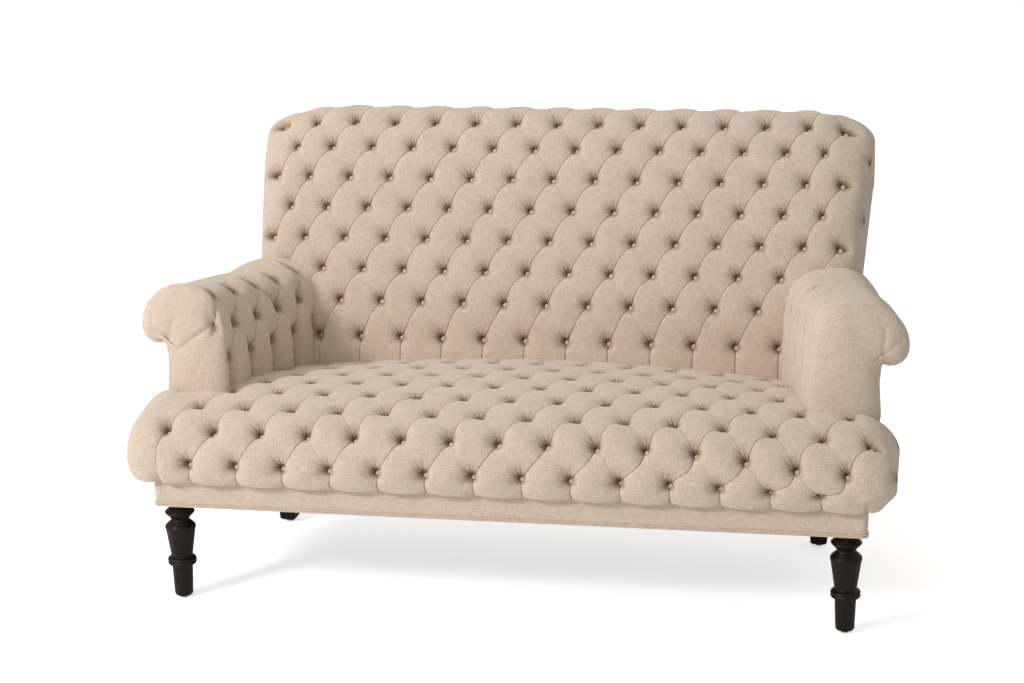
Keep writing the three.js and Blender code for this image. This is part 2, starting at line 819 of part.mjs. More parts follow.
function backRing(column, rows) {
  const ring = rows.map((row) => {
    const [halfWidth, reach] = [backHalfWidth(row.along), backReach(row.along)];
    const x = columnX(column, backColumns, halfWidth, reach);
    const share = Math.abs(column) > backColumns.last ? 1 : tuftShare(row, column);
    const { at, out } = backLine(row.along);
    const lift = backLoft * share - edgeInset(x, halfWidth, reach, backEdgeDepth);
    return new THREE.Vector3(x, at[0] + out[0] * lift, at[1] + out[1] * lift);
  });
  const tail = ring[ring.length - 1];
  ring.push(new THREE.Vector3(tail.x, rakedY(frameInside, tail.z), tail.z));
  ring.push(new THREE.Vector3(ring[0].x, rakedY(frameInside, backStartZ), backStartZ));
  return ring;
}

function columnsOf(last) {
  return Array.from({ length: 2 * last + 1 }, (_, i) => i - last);
}

function tuftHearts(rings, rows, columns, lastTufted) {
  return (i, k) => {
    if (k >= rows.length - 1 || !isCreased(rows[k], rows[k + 1], columns[i], lastTufted)) {
      return null;
    }
    if (Math.abs(columns[i + 1]) > lastTufted) {
      return null;
    }
    const corners = [rings[i][k], rings[i + 1][k], rings[i + 1][k + 1], rings[i][k + 1]];
    const lowFirst = tuftShare(rows[k], columns[i]) === 0;
    const buttons = lowFirst ? [corners[0], corners[2]] : [corners[1], corners[3]];
    const crowns = lowFirst ? [corners[1], corners[3]] : [corners[0], corners[2]];
    const low = buttons[0].clone().lerp(buttons[1], 1 / 2);
    const high = crowns[0].clone().lerp(crowns[1], 1 / 2);
    return low.lerp(high, creaseShare);
  };
}

function backPadGeometry(armEnvelopes) {
  const rows = backRowsList();
  const columns = columnsOf(backColumns.last + edgeColumns);
  const rings = columns.map((column) => backRing(column, rows));
  const pad = skinRings(rings, tuftHearts(rings, rows, columns, backColumns.last));
  const reach = postX + gap;
  const hollow = rakedBoard(
    [-overrun, postTop + gap], [-overrun, hessianFront + gap], -reach, reach,
  );
  const besideArm = { left: armTrenchX, right: armX, low: railTop, high: armTrenchTop };
  const wingCuts = [-1, 1].map((sign) => armBar(sign, armBox(besideArm, 0), armFrontStuffing, armFarY));
  return cut(pad, hollow, scrollCore(gap), ...armEnvelopes, ...wingCuts);
}

// Seat pad

function seatRowsList() {
  const nose = seatLipLength + seatNoseLength;
  const brow = nose + seatBrowLength;
  const first = brow + seatEaseLength;
  const rows = [
    { along: 0, pleat: true, parity: 1, loft: lipLoft },
    { along: seatLipLength, parity: 1, loft: noseLoft },
    { along: nose, parity: 0, loft: noseLoft },
    { along: brow, parity: 1, loft: seatLoft },
  ];
  const flatRows = Math.round((seatLength - first) / seatRowRise) - 1;
  for (let k = 0; k <= flatRows; k += 1) {
    rows.push({ along: first + k * seatRowRise, parity: k % 2, loft: seatLoft });
  }
  rows.push({ along: seatLength, pleat: true, parity: flatRows % 2, loft: seatLoft });
  return rows;
}

function seatSink(x, y) {
  const sideShare = Math.min(Math.abs(x) / armX, 1);
  return seatSideSink * sideShare ** 2 * shareOf(y, armFrontY, backStartY);
}

function seatRing(column, rows) {
  const x = columnX(column, seatColumns, seatWidth / 2, seatEdgeReach);
  const inset = edgeInset(x, seatWidth / 2, seatEdgeReach, seatEdgeDepth);
  const ring = rows.map((row) => {
    const share = Math.abs(column) > seatColumns.last ? 1 : tuftShare(row, column);
    const { at, out } = seatLine(row.along);
    const lift = row.loft * share - inset;
    const y = at[0] + out[0] * lift;
    return new THREE.Vector3(x, y, at[1] + out[1] * lift - seatSink(x, y));
  });
  const tail = ring[ring.length - 1];
  ring.push(new THREE.Vector3(x, tail.y, ring[0].z));
  return ring;
}

// Where the seat stops short of the back, at a length along the back's tuft line
function seatMeeting(along) {
  const { at, out } = backLine(along);
  return at.map((value, axis) => value + out[axis] * (backLoft + gap));
}

function seatPadGeometry(armEnvelopes) {
  const rows = seatRowsList();
  const columns = columnsOf(seatColumns.last + edgeColumns);
  const rings = columns.map((column) => seatRing(column, rows));
  const pad = skinRings(rings, tuftHearts(rings, rows, columns, seatColumns.last));
  const clearance = 2 * gap + borderThickness;
  const base = boardInPlan(shapeOf(baseOutline(clearance, backFaceY)), 0, armBottom);
  const hollow = boardFromSide([
    ...crownLine(deckRise + deckThickness + gap, springWireRadius + gap),
    [springBackY + springWireRadius + gap, railBottom], [springFrontY - springWireRadius - gap, railBottom],
  ], -deckHalf - gap, deckHalf + gap);
  const behindBack = boardFromSide([
    seatMeeting(0), seatMeeting(lumbarLength),
    [backFaceY, seatMeeting(lumbarLength)[1]], [backFaceY, backStartZ - gap],
    [seatMeeting(0)[0], backStartZ - gap],
  ], -seatWidth / 2, seatWidth / 2);
  const behindEar = new THREE.BoxGeometry(seatWidth, seatWidth, seatWidth);
  behindEar.translate(rearRailSpan / 2 + seatWidth / 2, armFrontY - gap + seatWidth / 2, 0);
  return cut(pad, base, hollow, behindBack, ...armEnvelopes, behindEar, mirrored(behindEar));
}

// Arms. An arm's own frame has x out from its middle, y back along it and z up. Towards the back
// its top drops and its inner wall moves in.
function armPoint(sign, x, y, z) {
  const back = y / armReach;
  const high = shareOf(z, armWaist, armTop);
  const wall = shareOf(rollCentre[0] - x, 0, rollCentre[0] - armWallX);
  const localX = x - armWallSpread * back * wall;
  const flare = rad(armFlare);
  return new THREE.Vector3(
    sign * (armX + localX * Math.cos(flare) - y * Math.sin(flare)),
    armFrontY + localX * Math.sin(flare) + y * Math.cos(flare),
    z - armBackDrop * back * high,
  );
}

// A bar with one section along an arm, between two distances back from its front
function armBar(sign, section, front, back) {
  return skinRings([front, back].map((y) => section.map(([x, z]) => armPoint(sign, x, y, z))));
}

// Everything behind a raked plane
function behindRake(inside) {
  return rakedBoard([-backWidth, backWidth], [-backWidth, inside], -backWidth, backWidth);
}

function armRowsList() {
  const top = armLowRowRise + 2 * armRowRise;
  const tail = (curlStart - top) / armTailRows;
  const curl = (armLength - curlStart) / armCurlRows;
  const rows = [
    { along: 0, pleat: true, parity: 0 },
    { along: armWallHeight, pleat: true, parity: 0 },
    { along: armLowRowRise, parity: 0 },
    { along: armLowRowRise + armRowRise, parity: 1 },
    { along: top, parity: 0 },
  ];
  for (let k = 1; k <= armTailRows; k += 1) {
    rows.push({ along: top + k * tail, pleat: true, parity: 0 });
  }
  for (let k = 1; k <= armCurlRows; k += 1) {
    rows.push({ along: curlStart + k * curl, smooth: true });
  }
  return rows;
}

function armSection(rows, lift) {
  const section = rows.map((row, k) => {
    const { at, out } = armLine(row.along);
    return [at[0] + out[0] * lift(row, k), at[1] + out[1] * lift(row, k)];
  });
  const grow = lift({ smooth: true }) - armLoft;
  section.push([armOuterX + grow, armWaist], [armFootX + grow, armBottom]);
  return section;
}

// The rings of an arm: those round its front edge, one at each tufted column, and two behind them
const armFrontRings = 2;

function armRings(sign, clearance, isTufted) {
  const rows = armRowsList();
  const smooth = (inset) => armSection(rows, () => armLoft + clearance - inset);
  const slice = (section, y) => section.map(([x, z]) => armPoint(sign, x, y, z));
  const bevel = armFrontRadius * (1 - Math.SQRT1_2);
  const rings = [slice(smooth(armFrontRadius), -clearance), slice(smooth(bevel), bevel - clearance)];
  for (let column = 0; column <= armColumns; column += 1) {
    const tufted = armSection(rows, (row) => armLoft * tuftShare(row, column));
    const section = isTufted ? tufted : smooth(0);
    rings.push(slice(section, armFirstButtonInset + column * armButtonPitch / 2));
  }
  const lastY = armFirstButtonInset + (armColumns + 1) * armButtonPitch / 2;
  rings.push(slice(smooth(0), lastY), slice(smooth(0), armFarY));
  return { rows, rings };
}

function armEnvelope(sign) {
  return skinRings(armRings(sign, gap, false).rings);
}

// Outlines across an arm, each grown by a clearance
function armBox({ left, right, low, high }, clearance) {
  const [x0, x1, z0, z1] = [left - clearance, right + clearance, low - clearance, high + clearance];
  return [[x0, z0], [x1, z0], [x1, z1], [x0, z1]];
}

function armDisc([x, z], radius) {
  return roundPoints(x, z, radius, turningSegments).map((point) => point.toArray());
}

const armTrenchTop = rollCentre[1] - armTopRailDrop;
const armTrenchX = armWallX + armStuffing;
const armPostFront = armFrontStuffing + gap;
const armPostBack = armPostFront + armPostThickness;
const armTopRail = {
  left: rollCentre[0] - armRailWidth / 2,
  right: rollCentre[0] + armRailWidth / 2,
  low: armTrenchTop,
  high: armTrenchTop + armTopRailHeight,
};
const armNeck = { ...armTopRail, low: armWaist, high: rollCentre[1] };
const armTackRail = {
  left: armTrenchX + gap,
  right: armTrenchX + gap + armRailWidth,
  low: armBottom + tackRailRise,
  high: armBottom + tackRailRise + tackRailHeight,
};
const armCoreCentre = [rollCentre[0], armTopRail.high + gap + armCoreRadius];

function armPadGeometry(sign) {
  const { rows, rings } = armRings(sign, 0, true);
  const columns = rings.map((_, i) => i - armFrontRings);
  const heartOf = tuftHearts(rings, rows, columns, armColumns);
  const pad = skinRings(rings, (i, k) => (columns[i] < 0 ? null : heartOf(i, k)));
  const trench = {
    left: armTrenchX, right: armOuterX + armLoft, low: railTop - overrun, high: armTrenchTop,
  };
  return cut(
    pad, behindRake(hessianFront + gap),
    armBar(sign, armBox(trench, 0), armFrontStuffing, armFarY),
    armBar(sign, armBox(armNeck, gap), armFrontStuffing, armPostBack + gap),
    armBar(sign, armDisc(rollCentre, armScrollBoardRadius + gap), armFrontStuffing, armPostBack + gap),
    armBar(sign, armBox(armTopRail, gap), armPostBack, armFarY),
    armBar(sign, armDisc(armCoreCentre, armCoreRadius + gap), armPostBack, armFarY),
  );
}

function makeArmFrames() {
  const coverInset = coverThickness + gap;
  const stump = [
    [armTrenchX + gap, armBottom], [armFootX - coverInset, armBottom], [armOuterX - coverInset, armWaist],
    [armOuterX - coverInset, armTrenchTop - gap], [armTrenchX + gap, armTrenchTop - gap],
  ];
  const bars = {
    arm_top_rail: armBox(armTopRail, 0),
    arm_tack_rail: armBox(armTackRail, 0),
    arm_roll_core: armDisc(armCoreCentre, armCoreRadius),
  };
  for (const [side, sign] of [['left', -1], ['right', 1]]) {
    const outlines = [stump, armBox(armNeck, 0), armDisc(rollCentre, armScrollBoardRadius)];
    const post = join(...outlines.map((outline) => armBar(sign, outline, armPostFront, armPostBack)));
    place(`arm_post_${side}`, post, 'beech');
    for (const [name, section] of Object.entries(bars)) {
      const bar = armBar(sign, section, armPostBack + gap, armFarY);
      place(`${name}_${side}`, cut(bar, behindRake(frameFront + gap)), 'beech');
    }
  }
}

function makePads() {
  const envelopes = [armEnvelope(-1), armEnvelope(1)];
  place('seat_pad', seatPadGeometry(envelopes), 'linen');
  const shortEnvelopes = envelopes.map((envelope) => cut(envelope, behindRake(frameFront)));
  place('back_pad', backPadGeometry(shortEnvelopes), 'linen');
  place('arm_pad_left', armPadGeometry(-1), 'linen');
  place('arm_pad_right', armPadGeometry(1), 'linen');
}

// Covers

function outsideArmCover(sign) {
  const face = [[armOuterX, armTrenchTop - gap], [armOuterX, armWaist], [armFootX, armBottom]];
  const lining = face.map(([x, z]) => [x - coverThickness, z]).reverse();
  const band = armBar(sign, [...face, ...lining], armPostFront, armFarY);
  return cut(band, behindRake(frameInside));
}

// The outside back hangs straight over the rear rail, then follows the raked frame up to the scroll
function outsideBackCover() {
  const top = scrollAlong - scrollRadius - backLoft - gap;
  const bendZ = railTop + coverThickness * Math.tan(rad(backRake / 2));
  const outline = [
    [backFaceY, railBottom], [backFaceY, railTop], rakedPoint(top, 0), rakedPoint(top, coverThickness),
    [backFaceY - coverThickness, bendZ], [backFaceY - coverThickness, railBottom],
  ];
  const widen = (z) => postX + (backWidth / 2 - postX) * shareOf(z, railTop, outline[2][1]);
  return skinRings([-1, 1].map(
    (sign) => outline.map(([y, z]) => new THREE.Vector3(sign * widen(z), y, z)),
  ));
}

function dustCover() {
  const frontX = frontLegX - legCollarRadius - dustCoverLegRoom;
  const frontY = legCollarRadius + dustCoverLegRoom;
  const rearX = rearLegX - rearLegTopSide / 2 - dustCoverLegRoom;
  const rearY = rearLegFootY - rearLegLean - rearLegTopSide / 2 - dustCoverLegRoom;
  const half = [
    [frontX, frontRailFaceY + dustCoverInset], [frontX, frontY], [baseX(frontY, dustCoverInset), frontY],
    [baseX(rearY, dustCoverInset), rearY], [rearX, rearY], [rearX, rearRailBackY - dustCoverInset],
  ];
  const top = railBottom - gap;
  return boardInPlan(shapeOf([...half, ...mirrorPlan(half).reverse()]), top - dustCoverThickness, top);
}

function makeCovers() {
  for (const [side, sign] of [['left', -1], ['right', 1]]) {
    place(`outside_arm_cover_${side}`, outsideArmCover(sign), 'linen');
  }
  place('outside_back_cover', outsideBackCover(), 'linen');
  const border = [
    ...baseOutline(gap + borderThickness, rearRailBackY), ...baseOutline(gap, rearRailBackY).reverse(),
  ];
  place('rail_cover', boardInPlan(shapeOf(border), railBottom + 2 * weltRadius + gap, railTop), 'linen');
  const weltLine = baseOutline(gap + weltRadius, rearRailBackY).map(
    ([x, y]) => new THREE.Vector3(x, y, railBottom + weltRadius),
  );
  place('bottom_welt', sweepWire(weltLine, weltRadius, weltSides), 'linen');
  place('dust_cover', dustCover(), 'cambric');
}

makeLegs();
makeBase();
makeSprings();
makeBackFrame();
makeArmFrames();
makePads();
makeCovers();

// The origin goes under the middle of the settee's outline
const middle = new THREE.Box3().setFromObject(settee).getCenter(new THREE.Vector3());
settee.children.forEach((mesh) => mesh.position.setY(mesh.position.y - middle.y));

export default settee;
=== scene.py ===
# The looks of a high-backed, deep-buttoned settee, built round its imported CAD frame.
# Upholstery is worked out in millimetres in the maker's frame, whose y runs back from the axis of
# the front legs, and is turned to metres in the row's frame when a mesh is made.
import math
from contextlib import contextmanager

import bmesh
import bpy
import numpy as np
from mathutils import Matrix, Vector
from mathutils.geometry import delaunay_2d_cdt


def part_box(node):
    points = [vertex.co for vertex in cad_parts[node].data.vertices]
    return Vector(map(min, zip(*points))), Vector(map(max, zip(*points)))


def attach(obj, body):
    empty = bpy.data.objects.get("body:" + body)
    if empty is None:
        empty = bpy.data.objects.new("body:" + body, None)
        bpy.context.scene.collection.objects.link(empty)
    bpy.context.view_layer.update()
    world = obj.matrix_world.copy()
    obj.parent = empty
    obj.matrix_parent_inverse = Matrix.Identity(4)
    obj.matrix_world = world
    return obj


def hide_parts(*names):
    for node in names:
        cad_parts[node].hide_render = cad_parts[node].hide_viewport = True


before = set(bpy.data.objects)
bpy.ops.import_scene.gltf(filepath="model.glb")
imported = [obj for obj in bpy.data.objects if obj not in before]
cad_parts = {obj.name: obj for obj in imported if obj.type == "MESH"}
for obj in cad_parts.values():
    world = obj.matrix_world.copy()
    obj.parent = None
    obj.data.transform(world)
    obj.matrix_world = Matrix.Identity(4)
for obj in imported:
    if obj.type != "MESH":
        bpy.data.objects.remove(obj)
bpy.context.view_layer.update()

MM = 0.001
glide_low, glide_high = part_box("front_glide_left")
FRONT_AXIS_Y = (glide_low.y + glide_high.y) / 2

# sizes shared with the CAD, in millimetres and degrees
RAIL_BOTTOM = 243
RAIL_TOP = 333
GAP = 0.3
BACK_RAKE = 22.7
COVER = 3
REAR_RAIL_Y = 605
LEG_X, LEG_RADIUS = 802, 37
REAR_LEG_X, REAR_LEG_HALF = 706, 26
REAR_LEG_FOOT_INSET, REAR_LEG_LEAN = 9, 24.8
DUST_THICK, DUST_INSET, DUST_LEG_ROOM = 0.8, 12, 20
BACK_FACE_Y = REAR_RAIL_Y + GAP + COVER
FRAME_INSIDE = COVER + GAP
FRAME_FRONT = FRAME_INSIDE + 60
HESSIAN_FRONT = FRAME_FRONT + GAP + 1.6

BACK_START = (578, 433.5)
BACK_HEADING = 79.5
BACK_RUNS = [(160, 0), (60, 14), (290, 0), (150, 21)]
SCROLL_RADIUS = 75
BACK_LOFT = 25
BACK_PITCH = 108.8
BACK_ROWS = [86, 178, 260, 342, 424, 506, 588, 660, 742]
BACK_LAST = 14
UPPER_CURVE_START = 510
CREST = 660

SEAT_START = (-50, 307)
SEAT_HEADING = 111.5
SEAT_RUNS = [(53, 26.5), (69.5, 39), (80, 32), (93, 9), (364, 13), (73.9, 0)]
SEAT_PITCH = 115
SEAT_ROWS = [53, 122.5, 202.5, 295.5, 386.5, 477.5, 568.5, 659.5]
SEAT_LOFTS = [38, 38, 21, 21, 21, 21, 21, 21]
SEAT_LIP_LOFT = 16
SEAT_LAST = 15
SEAT_HALF = 915
SEAT_REACH = 90
SEAT_EDGE_DEPTH = 65
SEAT_SIDE_SINK = 55

ARM_X = 787
ARM_FRONT_Y = 118
ARM_FLARE = 8
ARM_WALL_X = -61
ARM_BOTTOM = RAIL_TOP + GAP
ARM_WAIST = ARM_BOTTOM + 150
ARM_ARCS = [(39, 63), (142, 32), (85, 78), (22.5, 111)]
ARM_LOFT = 20
ARM_OUTER_X = 80.2
ARM_FOOT_X = 56.2
ARM_ROWS = [237, 320, 403]
ARM_FIRST = 48
ARM_PITCH = 110
ARM_LAST = 8
ARM_BACK_DROP = 52
ARM_WALL_SPREAD = 35

SIDES = {"left": -1, "right": 1}

rad = math.radians


def bent_line(start, heading, runs):
    """A line of runs (length, turn); gives points and left-hand directions at lengths along it."""
    def walk(along):
        left = np.asarray(along, float)
        x = np.full_like(left, start[0])
        y = np.full_like(left, start[1])
        angle = np.full_like(left, rad(heading))
        for length, turn in runs:
            step = np.clip(left, 0, length)
            bend = -rad(turn) * step / length
            chord = step * np.sinc(bend / 2 / math.pi)
            x = x + chord * np.cos(angle + bend / 2)
            y = y + chord * np.sin(angle + bend / 2)
            angle = angle + bend
            left = left - step
        return x, y, -np.sin(angle), np.cos(angle)
    return walk


def raked_y(inside, z):
    sin, cos = math.sin(rad(BACK_RAKE)), math.cos(rad(BACK_RAKE))
    return BACK_FACE_Y + (z - RAIL_TOP) * sin / cos - inside / cos


def raked_point(along, inside):
    sin, cos = math.sin(rad(BACK_RAKE)), math.cos(rad(BACK_RAKE))
    return (BACK_FACE_Y + along * sin - inside * cos, RAIL_TOP + along * cos + inside * sin)


def share_of(value, low, high):
    return np.clip((value - low) / (high - low), 0, 1)


def smooth_share(value, low, high):
    t = share_of(value, low, high)
    return t * t * (3 - 2 * t)


def arc(radius, turn):
    return (radius * rad(turn), turn)


# the scroll turns until its skin meets the back frame, as in the CAD
crest_x, crest_z, crest_out_x, crest_out_z = bent_line(BACK_START, BACK_HEADING, BACK_RUNS)(CREST)
scroll_y = float(crest_x - crest_out_x * SCROLL_RADIUS)
scroll_z = float(crest_z - crest_out_z * SCROLL_RADIUS)
rake_sin, rake_cos = math.sin(rad(BACK_RAKE)), math.cos(rad(BACK_RAKE))
SCROLL_INSIDE = (scroll_z - RAIL_TOP) * rake_sin - (scroll_y - BACK_FACE_Y) * rake_cos
SCROLL_ALONG = (scroll_y - BACK_FACE_Y) * rake_sin + (scroll_z - RAIL_TOP) * rake_cos
scroll_meeting = math.asin((FRAME_INSIDE - SCROLL_INSIDE) / (SCROLL_RADIUS + BACK_LOFT))
SCROLL_TURN = BACK_HEADING - 35 + 180 + BACK_RAKE + math.degrees(scroll_meeting)
back_runs = BACK_RUNS + [arc(SCROLL_RADIUS, SCROLL_TURN)]
BACK_END = sum(run[0] for run in back_runs)
back_line = bent_line(BACK_START, BACK_HEADING, back_runs)
seat_line = bent_line(SEAT_START, SEAT_HEADING, SEAT_RUNS)
SEAT_END = sum(run[0] for run in SEAT_RUNS)
arm_runs = [(201, 0), (150, 14.5), (29, 0)] + [arc(*bend) for bend in ARM_ARCS]
arm_line = bent_line((ARM_WALL_X, ARM_BOTTOM), 90, arm_runs)
ARM_END = sum(run[0] for run in arm_runs)
CURL_START = ARM_END - arm_runs[-1][0]
roll_x, roll_y, roll_out_x, roll_out_y = arm_line(CURL_START - arm_runs[-2][0])
ROLL_CENTRE = (float(roll_x - roll_out_x * 85), float(roll_y - roll_out_y * 85))
ARM_TOP = float(roll_y - roll_out_y * 142) + 142 + ARM_LOFT
ARM_REACH = (BACK_START[0] - ARM_FRONT_Y) / math.cos(rad(ARM_FLARE))
ARM_FAR_Y = (raked_y(-BACK_LOFT, ARM_TOP) - ARM_FRONT_Y) / math.cos(rad(ARM_FLARE))

# meshes

# what cloth without a button near it says of its distance to one
FAR_AWAY = 1000.0
# points nearer than this are made one, in metres
WELD, SHEET_WELD = 0.000001, 0.00002


def to_row(points):
    return np.asarray(points, float) * MM + np.array([0, FRONT_AXIS_Y, 0])


def wall_uv(points):
    """A flat map for plain cloth: round the settee, and up."""
    return np.stack([points[:, 0] + points[:, 1], points[:, 2]], -1)


def object_from(name, points, faces, uv, dimples=None):
    """An object with two maps: its place in the cloth, and how far the nearest button is."""
    mesh = bpy.data.meshes.new(name)
    mesh.from_pydata(to_row(points).tolist(), [], faces)
    corners = np.zeros(len(mesh.loops), int)
    mesh.loops.foreach_get("vertex_index", corners)
    if dimples is None:
        dimples = [np.full((len(corners), 2), FAR_AWAY)]
    for map_name, places in (("cloth", np.asarray(uv)[corners]), ("dimple", np.concatenate(dimples))):
        layer = mesh.uv_layers.new(name=map_name)
        layer.data.foreach_set("uv", (places * MM).astype(np.float32).ravel())
    obj = bpy.data.objects.new(name, mesh)
    bpy.context.scene.collection.objects.link(obj)
    return obj


def strips(rows, n, start=0, closed=False):
    """The faces between rows of n points each, or between closed rings of them."""
    def at(i, k):
        return start + i * n + k % n
    return [[at(i, k), at(i, k + 1), at(i + 1, k + 1), at(i + 1, k)]
            for i in range(rows - 1) for k in range(n if closed else n - 1)]


def other_way(quads):
    return [[a, d, c, b] for a, b, c, d in quads]


@contextmanager
def edited(obj):
    """The object's mesh, open for bmesh's tools and written back after them."""
    mesh = bmesh.new()
    mesh.from_mesh(obj.data)
    yield mesh
    mesh.to_mesh(obj.data)
    mesh.free()


def turn_outward(mesh):
    bmesh.ops.recalc_face_normals(mesh, faces=mesh.faces)
    if mesh.calc_volume(signed=True) < 0:
        bmesh.ops.reverse_faces(mesh, faces=mesh.faces)


def welded(name, points, faces, uv):
    """An object whose meeting points are made one, with no face of more than four corners."""
    obj = object_from(name, points, faces, uv)
    with edited(obj) as mesh:
        bmesh.ops.remove_doubles(mesh, verts=mesh.verts, dist=WELD)
        bmesh.ops.dissolve_degenerate(mesh, edges=mesh.edges, dist=WELD / 4)
        bmesh.ops.triangulate(mesh, faces=[face for face in mesh.faces if len(face.verts) > 4])
        bmesh.ops.recalc_face_normals(mesh, faces=mesh.faces)
    return obj


# the buttoned cloth: a lattice with a button where A and B are both even. The lines of even B are
# the folded creases, which rise to the right, and those of even A the soft ones

LATTICE_EDGE = 1e-5
GATHERS = 12
GATHER_AT, GATHER_WIDTH = 12, 8
SLIT_WIDTH, SLIT_CLEAR = 1.3, 6
PIT_LEAN = rad(135)
LOW_STEPS, HIGH_STEPS = 14, 30
STEP_SHARES = [0, 0.024, 0.052, 0.09, 0.14, 0.2, 0.27, 0.35, 0.44, 0.54, 0.66, 0.82, 1]


def even_offset(value):
    nearest = 2 * np.round(value / 2)
    return value - nearest, nearest


def hashed(*numbers):
    """A fixed number from 0 to 1 for each lattice place."""
    mixed = sum(np.asarray(n) * k for n, k in zip(numbers, (12.9898, 78.233, 37.719)))
    return np.abs(np.sin(mixed + 0.37) * 43758.5453) % 1


def lattice_patch(c0, c1, r1, odd):
    """The diagonal grid over columns c0..c1 and rows 0..r1: its A, B and faces."""
    def samples(low, high):
        centres = range(2 * math.floor(low / 2), high + 3, 2)
        values = {round(centre + sign * step, 6)
                  for centre in centres for sign in (-1, 1) for step in STEP_SHARES}
        return np.array(sorted(v for v in values if low - 1e-6 <= v <= high + 1e-6))
    a_values = samples(c0 + odd, c1 + r1 + odd)
    b_values = samples(c0 - r1 - odd, c1 - odd)
    a, b = np.meshgrid(a_values, b_values, indexing="ij")
    c, r = (a + b) / 2, (a - b) / 2 - odd
    kept = ((c > c0 - LATTICE_EDGE) & (c < c1 + LATTICE_EDGE)
            & (r > -LATTICE_EDGE) & (r < r1 + LATTICE_EDGE))
    index = np.full(a.shape, -1)
    index[kept] = np.arange(kept.sum())
    corners = np.stack([index[:-1, :-1], index[:-1, 1:], index[1:, 1:], index[1:, :-1]], -1)
    corners = corners.reshape(-1, 4)
    inside = (corners >= 0).sum(1)
    faces = corners[inside == 4].tolist()
    faces += [[v for v in face if v >= 0] for face in corners[inside == 3].tolist()]
    return a[kept], b[kept], faces


def round_fall(share):
    """1 at 0 and 0 from 1 on, round at the far end and steep at the near one, like a roll's side."""
    return 1 - np.sqrt(1 - (1 - np.clip(share, 0, 1)) ** 2)


class Cloth:
    """A sheet buttoned at the places of a lattice, and how far each point lies below its crowns."""

    def __init__(self, rows, lofts, odd, pitch, style, missing=None, gather_and_shade_shrink=1.0):
        self.rows = np.asarray(rows, float)
        self.lofts = np.asarray(lofts, float)
        self.count = len(rows) - 1
        self.odd, self.pitch, self.style, self.missing = odd, pitch, style, missing or {}
        self.gather_and_shade_shrink = gather_and_shade_shrink

    def loft(self, row):
        return np.interp(row, np.arange(self.count + 1), self.lofts)

    def along(self, row):
        return np.interp(row, np.arange(self.count + 1), self.rows)

    def span(self, row):
        return np.interp(row, np.arange(self.count) + 0.5, np.diff(self.rows))

    def drop(self, a, b):
        style = self.style
        da, na = even_offset(a)
        db, nb = even_offset(b)
        row = (a - b) / 2 - self.odd
        across, up = self.pitch / 2, self.span(row)
        loft = self.loft(row)
        far_a, far_b = np.abs(da), np.abs(db)
        vary = hashed(na, nb)
        over = 0.6 * round_fall(far_b / 0.35) + 0.4 * (1 - far_b) ** 2
        under = (1 - far_b) ** 2
        slash = np.where(db >= 0, over, under)
        soft = (1 - far_a) ** 2
        slash_deep = style["slash"] * (0.7 + 0.6 * hashed(nb, np.floor(a / 2)))
        slash_deep = slash_deep + (style["slash_end"] - slash_deep) * (1 - far_a) ** 3
        kept = hashed(na + 5, np.floor(b / 2))
        soft_deep = style["soft"] * (0.5 + kept)
        soft_deep = soft_deep + (style["soft_end"] - soft_deep) * (1 - far_b) ** 3
        pit = loft + style["sink"] - style["slash_end"] - style["soft_end"]
        px, py = (da + db) / 2 * across, (da - db) / 2 * up
        reach = np.hypot(px, py)
        angle = np.arctan2(py, px)
        toward = 0.5 + 0.5 * np.cos(angle - PIT_LEAN)
        length = style["pit_near"] + (style["pit_far"] - style["pit_near"]) * toward
        folded = slash_deep * slash
        fall = soft_deep * soft + pit * np.exp(-reach / length) * (0.85 + 0.3 * vary)
        width = SLIT_WIDTH * math.sqrt(2) / across
        near = np.exp(-(reach / SLIT_CLEAR) ** 2)
        slit = np.clip(1 - far_b / width, 0, 1) * (0.6 + 0.4 * (1 - far_a) ** 2)
        soft_slit = np.clip(1 - far_a / width, 0, 1) * np.maximum((1 - far_b) ** 4, 0.45 * (kept > 0.6))
        folded = folded + style["slit"] * slit * (1 - near)
        fall = fall + style["slit"] * 0.6 * soft_slit * (1 - near)
        gather = np.cos(angle * GATHERS + vary * 6.3) * toward ** 2
        fall = fall + gather * np.exp(-((reach - GATHER_AT) / GATHER_WIDTH) ** 2) * style["gather"]
        gone, spared = np.zeros_like(fall), np.zeros_like(fall)
        for (column, place), share in self.missing.items():
            here = 1 - smooth_share(np.hypot((a + b) / 2 - column, row - place), 0.1, 1.0)
            gone = np.maximum(gone, here)
            spared = np.maximum(spared, here * share)
        eased = np.interp(row, *style["ease"]) if "ease" in style else 1
        return (fall * (1 - gone) + folded * (1 - gone + spared)) * eased

    def from_button(self, columns, alongs):
        """How far each corner of a face is from the button nearest to the face, across and up."""
        c, s = columns.mean(), alongs.mean()
        row = np.arange(self.count + 1)
        parity = (row + self.odd) % 2
        nearest = 2 * np.round((c - parity) / 2) + parity
        gaps = np.hypot((c - nearest) * self.pitch / 2, s - self.rows)
        k = int(np.argmin(gaps))
        if (int(nearest[k]), k) in self.missing:
            return np.full((len(columns), 2), FAR_AWAY)
        apart = np.stack([(columns - nearest[k]) * self.pitch / 2, alongs - self.rows[k]], -1)
        # the distances are multiplied by this factor, so a larger one makes the painted shade and gather
        # rays round the button smaller
        return apart * self.gather_and_shade_shrink


